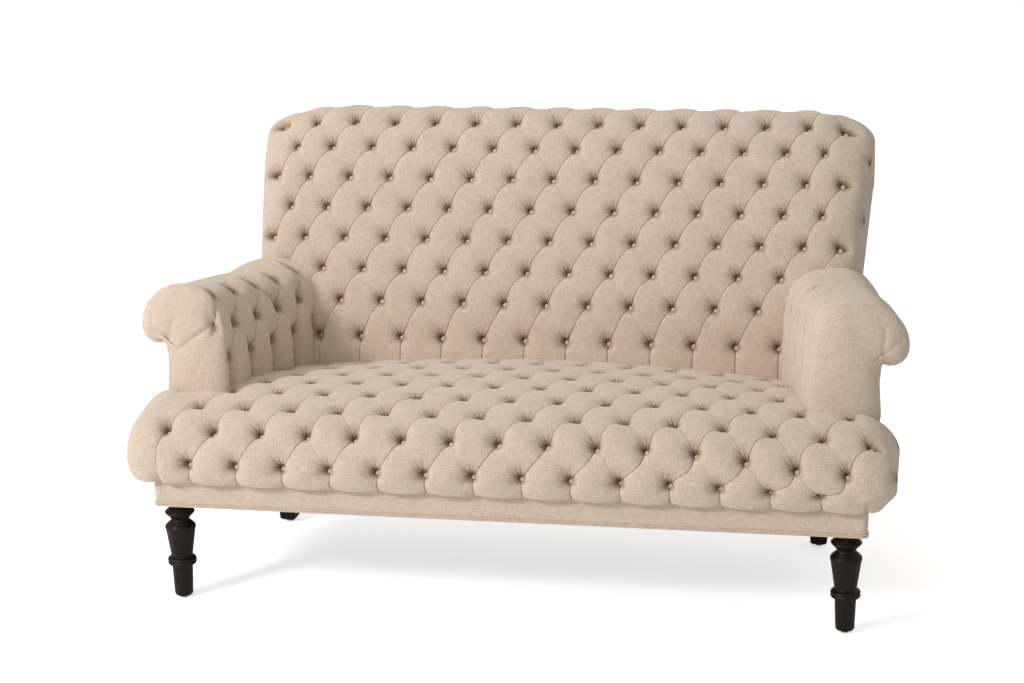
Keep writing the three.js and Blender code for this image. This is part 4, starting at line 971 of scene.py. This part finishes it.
def make_buttons(name, cloth, place, lattice):
    points, uv, faces = [], [], []
    for column, row in lattice:
        s = float(cloth.rows[row])
        sink = button_level(cloth, column, row)
        c_at = column + 1.5 / (cloth.pitch / 2)
        here, flat = place(np.array([c_at] * 2), np.array([s, s]) - 1.5, np.array([sink, sink + 5.0]))
        normal = here[1] - here[0]
        normal = normal / np.linalg.norm(normal)
        side = np.cross(normal, [0, 0, 1])
        side = side / np.linalg.norm(side)
        up = np.cross(side, normal)
        start = len(points)
        for share, height in BUTTON_RINGS:
            for k in range(BUTTON_SIDES):
                turn = 2 * math.pi * k / BUTTON_SIDES
                dx, dy = (BUTTON_RADIUS * share * f for f in (math.cos(turn), math.sin(turn)))
                points.append(here[0] + side * dx + up * dy + normal * height)
                uv.append(flat[0] + [dx, dy])
        points.append(here[0] + normal * BUTTON_TOP)
        uv.append(flat[0])
        top = len(points) - 1
        last = top - BUTTON_SIDES
        faces.append([start + k for k in range(BUTTON_SIDES)][::-1])
        faces += strips(len(BUTTON_RINGS), BUTTON_SIDES, start, closed=True)
        faces += [[last + k, last + (k + 1) % BUTTON_SIDES, top] for k in range(BUTTON_SIDES)]
    return welded(name, points, faces, uv)


def lattice_buttons(cloth, first, last):
    return [(column, row) for row in range(cloth.count + 1) for column in range(first, last + 1)
            if (column + row + cloth.odd) % 2 == 0 and (column, row) not in cloth.missing]


def seen_on_seat(column, row):
    """Tells the seat's buttons from the places under the arms and behind the back's foot."""
    return row < 7 and (abs(column) < 13 or row < 4)


seat_lattice = [at for at in lattice_buttons(seat_cloth, -SEAT_LAST, SEAT_LAST) if seen_on_seat(*at)]
button_groups = [
    make_buttons("back_buttons", back_cloth, back_place, lattice_buttons(back_cloth, -BACK_LAST, BACK_LAST)),
    make_buttons("seat_buttons", seat_cloth, seat_place, seat_lattice),
]
for side, sign in SIDES.items():
    cloth = arm_cloths[side]
    button_groups.append(make_buttons("arm_buttons_" + side, cloth, arm_place_for(sign),
                                      lattice_buttons(cloth, -1, ARM_LAST - 1)))


# plain covers

PANEL_SWELL = 4
BACK_COVER_HALF, BACK_COVER_WIDER = 770, 13
BORDER_LOW, BORDER_BACK, BORDER_SWELL = 248.5, 2.8, 1.2
BORDER_CORNER = (14, 8)
OUTLINE_STEP = 8
# each cord of the welt: its radius, how far it stands out and its height
WELT_CORDS = ((2.6, 0, 245.6), (2.1, 1.4, 250.2))
WELT_SIDES = 10
DUST_SAG = 1.5


def panel(name, outer, inner):
    """A closed thin panel from two grids of the same shape."""
    rows, cols = outer.shape[:2]
    half = rows * cols
    faces = []
    for quad in strips(rows, cols):
        faces += [quad, [half + v for v in quad[::-1]]]
    index = np.arange(half).reshape(rows, cols)
    rim = np.concatenate([index[0], index[1:, -1], index[-1, -2::-1], index[-2:0:-1, 0]]).tolist()
    faces += [[w, v, half + v, half + w] for v, w in zip(rim, rim[1:] + rim[:1])]
    flat = outer.reshape(-1, 3)
    uv = wall_uv(flat)
    return welded(name, np.concatenate([flat, inner.reshape(-1, 3)]), faces, np.concatenate([uv, uv]))


def outward_of(line):
    """Directions square to a line in a plane, to its right as it runs."""
    tangent = np.gradient(line, axis=0)
    tangent /= np.linalg.norm(tangent, axis=1)[:, None]
    return np.stack([tangent[:, 1], -tangent[:, 0]], -1)


def puff(rows, cols, height=PANEL_SWELL):
    """A low swelling over a panel, none at its edges."""
    v = np.minimum(np.arange(rows), np.arange(rows)[::-1]) / max(rows - 1, 1) * 2
    u = np.minimum(np.arange(cols), np.arange(cols)[::-1]) / max(cols - 1, 1) * 2
    rounded = lambda share: np.sqrt(1 - (1 - np.clip(share * 4, 0, 1)) ** 2)
    return height * rounded(v)[:, None] * rounded(u)[None, :]


def make_outside_arm(side, sign):
    zs = np.linspace(ARM_BOTTOM, TRENCH_TOP - GAP, 40)
    ys = np.linspace(POST_FRONT, ARM_FAR_Y, 60)
    x = np.interp(zs, ARM_WALL_Z, ARM_WALL_X_AT)
    grid_z, grid_y = np.meshgrid(zs, ys, indexing="ij")
    out = x[:, None] - 0.5 + puff(len(zs), len(ys))
    outer = arm_point(sign, out, grid_y, grid_z)
    inner = arm_point(sign, x[:, None] - COVER + 0 * grid_y, grid_y, grid_z)
    obj = panel("outside_arm_" + side, outer, inner)
    behind = all_behind("behind", FRAME_INSIDE, PAST_ALL)
    cut(obj, behind)
    drop_tools(behind)
    return obj


def make_outside_back():
    top = SCROLL_ALONG - SCROLL_RADIUS - BACK_LOFT - GAP
    low = [(BACK_FACE_Y, z) for z in np.linspace(RAIL_BOTTOM, RAIL_TOP, 12)]
    line = np.array(low + [raked_point(along, 0) for along in np.linspace(0, top, 60)[1:]])
    out = outward_of(line)
    z = line[:, 1]
    half = BACK_COVER_HALF + BACK_COVER_WIDER * share_of(z, RAIL_TOP, z[-1])
    depth = (line[:, 0] - ARM_FRONT_Y) / math.cos(rad(ARM_FLARE))
    beside_arm = arm_point(1, np.interp(z, ARM_WALL_Z, ARM_WALL_X_AT) - 1, depth, z)[:, 0]
    above_arm = smooth_share(z, TRENCH_TOP, TRENCH_TOP + 40)
    arm_share = smooth_share(z, RAIL_TOP, RAIL_TOP + 20) * (1 - above_arm)
    half = half + np.maximum(beside_arm - half, 0) * arm_share
    shares = np.linspace(-1, 1, 120)
    swell = puff(len(line), len(shares))
    x = half[:, None] * shares
    outer, inner = (np.stack([x, *(line[:, None, k] + out[:, None, k] * lift for k in (0, 1))], -1)
                    for lift in (swell, np.full_like(swell, -COVER)))
    return panel("outside_back", outer, inner)


def along_outline(outline, spacing):
    """Points at even spacing along an open outline, with its outward directions."""
    outline = np.array(outline)
    size = np.linalg.norm(np.diff(outline, axis=0), axis=1)
    total = np.concatenate([[0], np.cumsum(size)])
    places = np.unique(np.concatenate([np.arange(0, total[-1], spacing), total]))
    xs, ys = (np.interp(places, total, outline[:, k]) for k in (0, 1))
    line = np.stack([xs, ys], -1)
    return line, outward_of(line)


def make_border():
    line, out = along_outline(base_outline(GAP + COVER, REAR_RAIL_Y, *BORDER_CORNER), OUTLINE_STEP)
    zs = np.linspace(BORDER_LOW, RAIL_TOP, 26)
    tuck = 3 * (1 - share_of(zs, 248, 300)) ** 2 * 0.3
    swell = BORDER_SWELL * np.sin(np.pi * (zs - zs[0]) / (zs[-1] - zs[0])) - tuck
    z = np.repeat(zs[:, None], len(line), 1)
    outer, inner = (np.stack([*(line[:, k] + out[:, k] * lift[:, None] for k in (0, 1)), z], -1)
                    for lift in (swell, np.full(len(zs), -BORDER_BACK)))
    return panel("rail_border", outer, inner)


def make_welt():
    """Two cords side by side round the foot of the border."""
    points, faces, uv = [], [], []
    outline = base_outline(GAP + WELT_CORDS[0][0], REAR_RAIL_Y, *BORDER_CORNER)
    line, out = along_outline(outline, OUTLINE_STEP)
    for radius, lift, z in WELT_CORDS:
        start = len(points)
        for at, direction in zip(line, out):
            for k in range(WELT_SIDES):
                turn = 2 * math.pi * k / WELT_SIDES
                reach = lift + radius * math.cos(turn)
                points.append([*(at + direction * reach), z + radius * math.sin(turn)])
                uv.append([at[0] + at[1], radius * turn])
        faces += other_way(strips(len(line), WELT_SIDES, start, closed=True))
        faces.append([start + k for k in range(WELT_SIDES)])
        faces.append([len(points) - WELT_SIDES + k for k in range(WELT_SIDES)][::-1])
    return welded("border_welt", points, faces, uv)


def dust_outline():
    """The dust cover's box, and its half widths along its depth: it leaves room for the legs."""
    low, high = (np.array(corner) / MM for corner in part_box("dust_cover"))
    low[1] -= FRONT_AXIS_Y / MM
    high[1] -= FRONT_AXIS_Y / MM
    front_x, front_y = LEG_X - LEG_RADIUS - DUST_LEG_ROOM, LEG_RADIUS + DUST_LEG_ROOM
    rear_leg_y = REAR_RAIL_Y - REAR_LEG_FOOT_INSET - REAR_LEG_LEAN
    rear_x, rear_y = REAR_LEG_X - REAR_LEG_HALF - DUST_LEG_ROOM, rear_leg_y - REAR_LEG_HALF - DUST_LEG_ROOM
    steps = [front_y, rear_y, front_y + 0.5, rear_y - 0.5]
    ys = np.unique(np.concatenate([np.linspace(low[1], high[1], 40), steps]))
    half = np.where(ys <= front_y, front_x, np.where(ys >= rear_y, rear_x, base_x(ys, -DUST_INSET)))
    return low, high, ys, half


def make_dust_cover():
    """The dust cover as the CAD has it, sagging a little between the rails it is tacked to."""
    low, high, ys, half = dust_outline()
    us = np.linspace(-1, 1, 90)
    v = share_of(ys, low[1], high[1])
    sag = DUST_SAG * np.sin(math.pi * v)[:, None] * (1 - us ** 4)[None, :]
    outer = np.stack([half[:, None] * us, np.repeat(ys[:, None], len(us), 1), low[2] - sag], -1)
    return panel("dust_sheet", outer, outer + np.array([0, 0, DUST_THICK]))


covers = {piece.name: piece for piece in [
    *(make_outside_arm(side, sign) for side, sign in SIDES.items()),
    make_outside_back(), make_border(), make_welt(), make_dust_cover()]}

# turned front legs, drawn up ring by ring as on a lathe

LEG_SHARES = [(0.5, 0), (0.6, 0.02), (0.68, 0.332), (0.9, 0.342), (0.96, 0.365), (0.89, 0.379),
              (0.96, 0.393), (0.88, 0.413), (0.69, 0.425), (0.96, 0.71), (1, 0.727), (1.01, 0.75),
              (0.93, 0.768), (0.6, 0.815), (0.6, 0.832), (0.91, 0.884), (1, 0.902), (0.9, 0.918),
              (0.63, 0.955), (0.63, 1)]
LEG_FOOT, LEG_HEAD = 5.3, 242.7
LEG_SIDES = 48
LEG_EASING = 0.0032


def turned_leg(name, centre):
    profile = [(share * LEG_RADIUS * MM, (LEG_FOOT + (LEG_HEAD - LEG_FOOT) * height) * MM)
               for share, height in LEG_SHARES]
    bpy.ops.object.select_all(action="DESELECT")
    radius, z = profile[0]
    bpy.ops.mesh.primitive_circle_add(vertices=LEG_SIDES, radius=radius, fill_type="NGON",
                                      location=(centre[0], centre[1], z))
    leg = bpy.context.object
    leg.name = name
    bpy.ops.object.mode_set(mode="EDIT")
    bpy.ops.mesh.select_all(action="SELECT")
    for next_radius, next_z in profile[1:]:
        bpy.ops.mesh.extrude_region_move(TRANSFORM_OT_translate={"value": (0, 0, next_z - z)})
        k = next_radius / radius
        bpy.ops.transform.resize(value=(k, k, 1), center_override=(centre[0], centre[1], next_z))
        radius, z = next_radius, next_z
    bpy.ops.object.mode_set(mode="OBJECT")
    bpy.ops.object.transform_apply(location=True, rotation=True, scale=True)
    only(leg)
    modifier = leg.modifiers.new("eased", "BEVEL")
    modifier.width = LEG_EASING
    modifier.segments = 4
    modifier.limit_method = "ANGLE"
    modifier.angle_limit = rad(18)
    bpy.ops.object.modifier_apply(modifier=modifier.name)
    with edited(leg) as mesh:
        bmesh.ops.recalc_face_normals(mesh, faces=mesh.faces)
    return leg


legs = {side: turned_leg("turned_leg_" + side, (sign * LEG_X * MM, FRONT_AXIS_Y))
        for side, sign in SIDES.items()}

# materials


def linear(hex_colour):
    """An sRGB hex colour as linear red, green, blue and alpha."""
    channels = [int(hex_colour[k:k + 2], 16) / 255 for k in (1, 3, 5)]
    return [c / 12.92 if c <= 0.04045 else ((c + 0.055) / 1.055) ** 2.4 for c in channels] + [1]


def feed(tree, made, inputs):
    """Gives each input of a node a value, or joins it to a socket or to a node's first output."""
    for key, value in inputs.items():
        if isinstance(value, bpy.types.Node):
            value = value.outputs[0]
        if isinstance(value, bpy.types.NodeSocket):
            tree.links.new(value, made.inputs[key])
        else:
            made.inputs[key].default_value = value
    return made


def node(tree, kind, inputs=None, **settings):
    made = tree.nodes.new("ShaderNode" + kind)
    for key, value in settings.items():
        setattr(made, key, value)
    return feed(tree, made, inputs or {})


def calc(tree, operation, *values):
    return node(tree, "Math", dict(enumerate(values)), operation=operation)


def fade_out(tree, source, near, far, most):
    """Falls smoothly from its most to nothing as the source goes from near to far."""
    return node(tree, "MapRange", {"From Min": near, "From Max": far, "To Min": most, "To Max": 0.0,
                                   "Value": source}, interpolation_type="SMOOTHSTEP")


def crossed_bars(tree, place, operation, scale, distortion, detail, detail_scale):
    """Bands of thread both ways."""
    bars = [node(tree, "TexWave", {"Scale": scale, "Distortion": distortion, "Detail": detail,
                                   "Detail Scale": detail_scale, "Vector": place},
                 wave_type="BANDS", bands_direction=axis) for axis in ("X", "Y")]
    return calc(tree, operation, *(bar.outputs["Fac"] for bar in bars))


def new_material(name):
    """A material, its tree, its shader and the object's own coordinates."""
    made = bpy.data.materials.new(name)
    made.use_nodes = True
    tree = made.node_tree
    return made, tree, tree.nodes["Principled BSDF"], node(tree, "TexCoord").outputs["Object"]


def ramp(tree, source, stops):
    """Blends from colour to colour; stops are pairs of a place and a hex colour."""
    made = node(tree, "ValToRGB", {"Fac": source})
    while len(made.color_ramp.elements) < len(stops):
        made.color_ramp.elements.new(0.5)
    for element, (place, colour) in zip(made.color_ramp.elements, stops):
        element.position, element.color = place, linear(colour)
    return made


def grey(level):
    return [level, level, level, 1]


def linen_material():
    """Plain-woven linen: fine uneven threads both ways, dull, with a faint bloom at grazing light,
    drawn into small rays of gathers round each button. Shade is painted into its colour there: darkest in
    each pit, spread wider over the pit's upper-left side, which is turned from the key light, and faint
    along the rays."""
    made, tree, shader, here = new_material("plain_woven_linen")
    cloth = node(tree, "UVMap", uv_map="cloth")
    threads = [node(tree, "TexNoise", {"Scale": 1.0, "Detail": 2.0,
                                       "Vector": node(tree, "Mapping", {"Scale": way, "Vector": cloth})},
                    noise_dimensions="2D") for way in ((45, 800, 1), (800, 45, 1))]
    both = calc(tree, "ADD", *threads)
    broad = node(tree, "TexNoise", {"Scale": 14.0, "Detail": 4.0, "Vector": here})
    spread = node(tree, "MapRange", {"From Min": 0.7, "From Max": 1.6,
                                     "Value": calc(tree, "MULTIPLY_ADD", broad, 0.3, both)})
    colour = ramp(tree, spread, [(0.0, "#C0AD99"), (0.4, "#CFBDAA"), (0.6, "#D7C6B4"), (1.0, "#E2D3C2")])
    place = node(tree, "UVMap", uv_map="dimple")
    apart = node(tree, "SeparateXYZ", {"Vector": place})
    reach = node(tree, "VectorMath", {0: place}, operation="LENGTH").outputs["Value"]
    angle = calc(tree, "ARCTAN2", apart.outputs["Y"], apart.outputs["X"])
    uneven = node(tree, "TexNoise", {"Scale": 30.0, "Detail": 2.0, "Vector": here})
    turned = calc(tree, "MULTIPLY_ADD", angle, float(GATHERS), calc(tree, "MULTIPLY", uneven, 14.0))
    lean = calc(tree, "COSINE", calc(tree, "SUBTRACT", angle, 2.356))
    upper = node(tree, "MapRange", {"From Min": -0.2, "From Max": 1.0, "Value": lean})
    where = calc(tree, "MULTIPLY", fade_out(tree, reach, 0.008, 0.042, 1.0), upper)
    gathers = calc(tree, "MULTIPLY", calc(tree, "COSINE", turned), where)
    # painted shade over the upper-left side of each pit, the side turned from the key light
    drawn = calc(tree, "MULTIPLY", fade_out(tree, reach, 0.006, 0.044, 0.42), upper)
    # painted shade: darkest at the bottom of each pit, added to the upper-left spread
    deep = calc(tree, "ADD", drawn, fade_out(tree, reach, 0.005, 0.02, 0.6))
    # the colour is darkened towards a brown of painted shade by the pit shade, and a little along the gather
    # rays
    shaded = node(tree, "Mix", {"Factor": calc(tree, "MULTIPLY_ADD", gathers, 0.06, deep),
                                "A": colour, "B": linear("#9A7A5C")},
                  data_type="RGBA", blend_type="MULTIPLY", clamp_factor=True)
    crossed = crossed_bars(tree, cloth, "MULTIPLY", 130.0, 0.6, 1.0, 1.5)
    weave = node(tree, "Bump", {"Strength": 0.35, "Distance": 0.0003,
                                "Height": calc(tree, "ADD", crossed, both)})
    folds = node(tree, "Bump", {"Strength": 1.0, "Distance": 0.0012, "Height": gathers,
                                "Normal": weave}, invert=True)
    feed(tree, shader, {"Base Color": shaded.outputs["Result"], "Normal": folds, "Roughness": 0.92,
                        "Diffuse Roughness": 0.6, "Specular IOR Level": 0.25,
                        "Sheen Weight": 0.1, "Sheen Roughness": 0.5})
    return made


def wood_material(name, dark, light, grain, roughness, coat=0.0, gloss=0.5):
    """Wood with its grain along z: stretched noise gives the figure and a little relief."""
    made, tree, shader, here = new_material(name)
    stretched = node(tree, "Mapping", {"Scale": grain, "Vector": here})
    figure = node(tree, "TexNoise", {"Scale": 1.0, "Detail": 5.0, "Roughness": 0.6, "Vector": stretched})
    feed(tree, shader, {
        "Base Color": ramp(tree, figure, [(0.3, dark), (0.7, light)]),
        "Roughness": node(tree, "MapRange", {"To Min": roughness[0], "To Max": roughness[1],
                                             "Value": figure}),
        "Normal": node(tree, "Bump", {"Strength": 0.25, "Distance": 0.0003, "Height": figure}),
        "Coat Weight": coat, "Coat Roughness": 0.25, "Specular IOR Level": gloss})
    return made


def metal_material(name, dark, light, roughness):
    """Bare or plated metal: fine wear shows as uneven gloss."""
    made, tree, shader, here = new_material(name)
    wear = node(tree, "TexNoise", {"Scale": 260.0, "Detail": 4.0, "Vector": here})
    feed(tree, shader, {
        "Base Color": ramp(tree, wear, [(0.25, dark), (0.75, light)]), "Metallic": 1.0,
        "Roughness": node(tree, "MapRange", {"To Min": roughness[0], "To Max": roughness[1],
                                             "Value": wear})})
    return made


def coarse_cloth_material(name, dark, light, threads):
    """An open plain weave seen close: crossed bars of thread, darker between them."""
    made, tree, shader, here = new_material(name)
    crossed = crossed_bars(tree, here, "MAXIMUM", threads, 1.2, 2.0, 2.0)
    feed(tree, shader, {
        "Base Color": ramp(tree, crossed, [(0.2, dark), (0.9, light)]), "Roughness": 0.95,
        "Normal": node(tree, "Bump", {"Strength": 0.4, "Distance": 0.0004, "Height": crossed})})
    return made


finishes = {
    "linen": linen_material(),
    "ebonised_wood": wood_material("ebonised_beech_satin", "#130E09", "#1F1710", (90, 90, 9),
                                   (0.34, 0.46), 0.02, 0.2),
    "beech": wood_material("planed_beech", "#B98F63", "#D6B185", (60, 60, 14), (0.55, 0.72)),
    "steel": metal_material("drawn_steel_wire", "#7C7E80", "#A1A3A5", (0.3, 0.5)),
    "nickel": metal_material("nickel_plate", "#B9B3A6", "#D2CCBF", (0.18, 0.32)),
    "hessian": coarse_cloth_material("jute_hessian", "#8A6F49", "#BFA377", 60),
    "cambric": coarse_cloth_material("black_cambric", "#161617", "#2C2C2E", 140),
}


CLOTH_SMOOTH, WOOD_SMOOTH = 55, 40


def dress(obj, slot_name, smooth):
    obj.data.materials.clear()
    obj.data.materials.append(finishes[slot_name])
    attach(obj, "root")
    only(obj)
    bpy.ops.object.shade_smooth_by_angle(angle=rad(smooth))


for piece in [back, seat, *arms.values(), *button_groups, *covers.values()]:
    dress(piece, "cambric" if piece.name == "dust_sheet" else "linen", CLOTH_SMOOTH)
for leg in legs.values():
    dress(leg, "ebonised_wood", WOOD_SMOOTH)

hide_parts("back_pad")
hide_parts("seat_pad")
for side, arm in arms.items():
    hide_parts("arm_pad_" + side)
    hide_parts("outside_arm_cover_" + side)
    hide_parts("front_leg_" + side)
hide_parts("outside_back_cover")
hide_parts("rail_cover")
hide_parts("bottom_welt")
dust_low, dust_high, dust_ys, dust_half = dust_outline()
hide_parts("dust_cover")

node_slots = {
    "ebonised_wood": ("rear_leg_",),
    "nickel": ("front_glide_", "rear_glide_"),
    "steel": ("front_leg_bolt_", "rear_leg_bolt_", "seat_spring_"),
    "hessian": ("seat_deck", "back_hessian"),
}
for name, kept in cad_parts.items():
    slot_name = next((key for key, starts in node_slots.items() if name.startswith(starts)), "beech")
    if kept.data.materials:
        for k in range(len(kept.material_slots)):
            kept.material_slots[k].link = "OBJECT"
            kept.material_slots[k].material = finishes[slot_name]

# floor, light and camera

FLOOR_LIFT, ROOM_LIGHT = 0.62, 0.44


def floor_material():
    """A plain white floor that keeps the settee's shadow; seen directly it is lifted to white."""
    made, tree, shader, _ = new_material("plain_floor")
    lifted = node(tree, "MapRange", {"To Max": FLOOR_LIFT,
                                     "Value": node(tree, "LightPath").outputs["Is Camera Ray"]})
    feed(tree, shader, {"Base Color": linear("#FFFFFF"), "Roughness": 0.9, "Specular IOR Level": 0.0,
                        "Emission Color": grey(1), "Emission Strength": lifted})
    return made


bpy.ops.object.select_all(action="DESELECT")
bpy.ops.mesh.primitive_plane_add(size=60, location=(0, 0, 0))
floor = bpy.context.object
floor.name = "floor"
floor.data.materials.append(floor_material())

world = bpy.data.worlds.new("studio")
bpy.context.scene.world = world
world.use_nodes = True
tree = world.node_tree
tree.nodes.clear()
seen = node(tree, "LightPath").outputs["Is Camera Ray"]
soft, white = (node(tree, "Background", {"Color": grey(1), "Strength": strength})
               for strength in (ROOM_LIGHT, 1.0))
node(tree, "OutputWorld", {"Surface": node(tree, "MixShader", {0: seen, 1: soft, 2: white})})


def area_light(name, place, aim, size, energy):
    data = bpy.data.lights.new(name, "AREA")
    data.shape = "RECTANGLE"
    data.size, data.size_y = size
    data.energy = energy
    light = bpy.data.objects.new(name, data)
    light.location = place
    light.rotation_euler = (Vector(aim) - Vector(place)).to_track_quat("-Z", "Y").to_euler()
    bpy.context.scene.collection.objects.link(light)


# name, place, aim, size and power of each light
for lamp in (("key", (-3.4, -4.0, 3.2), (0, 0, 0.6), (1.1, 1.1), 168),
             ("top", (-0.6, -0.9, 4.4), (0, 0, 0.6), (2.4, 2.4), 26),
             ("front", (-1.8, -5.6, 1.1), (0, 0, 0.5), (2.0, 1.2), 26)):
    area_light(*lamp)

# the camera was fitted to the photograph: it looks at the target from this far and from this side
AZIMUTH, ELEVATION, ROLL = 11.109, 14.392, -0.999
DISTANCE, FOCAL_PIXELS, FRAME_PIXELS, SENSOR = 5.3293, 2305.1, 1024, 36
target = Vector((0.0271, FRONT_AXIS_Y, 0.6702))
sin_a, cos_a = math.sin(rad(AZIMUTH)), math.cos(rad(AZIMUTH))
sin_e, cos_e = math.sin(rad(ELEVATION)), math.cos(rad(ELEVATION))
back_way = Vector((sin_a * cos_e, -cos_a * cos_e, sin_e))
right_way = (-back_way).cross(Vector((0, 0, 1))).normalized()
up_way = right_way.cross(-back_way)
sin_r, cos_r = math.sin(rad(ROLL)), math.cos(rad(ROLL))
across = right_way * cos_r + up_way * sin_r
upright = -right_way * sin_r + up_way * cos_r
camera_data = bpy.data.cameras.new("camera")
camera_data.sensor_width = SENSOR
camera_data.lens = FOCAL_PIXELS / FRAME_PIXELS * SENSOR
camera_data.clip_end = 100
camera = bpy.data.objects.new("camera", camera_data)
place = target + back_way * DISTANCE
turned = Matrix((across, upright, back_way)).transposed().to_4x4()
camera.matrix_world = Matrix.Translation(place) @ turned
bpy.context.scene.collection.objects.link(camera)
bpy.context.scene.camera = camera
bpy.context.scene.view_settings.view_transform = "Standard"
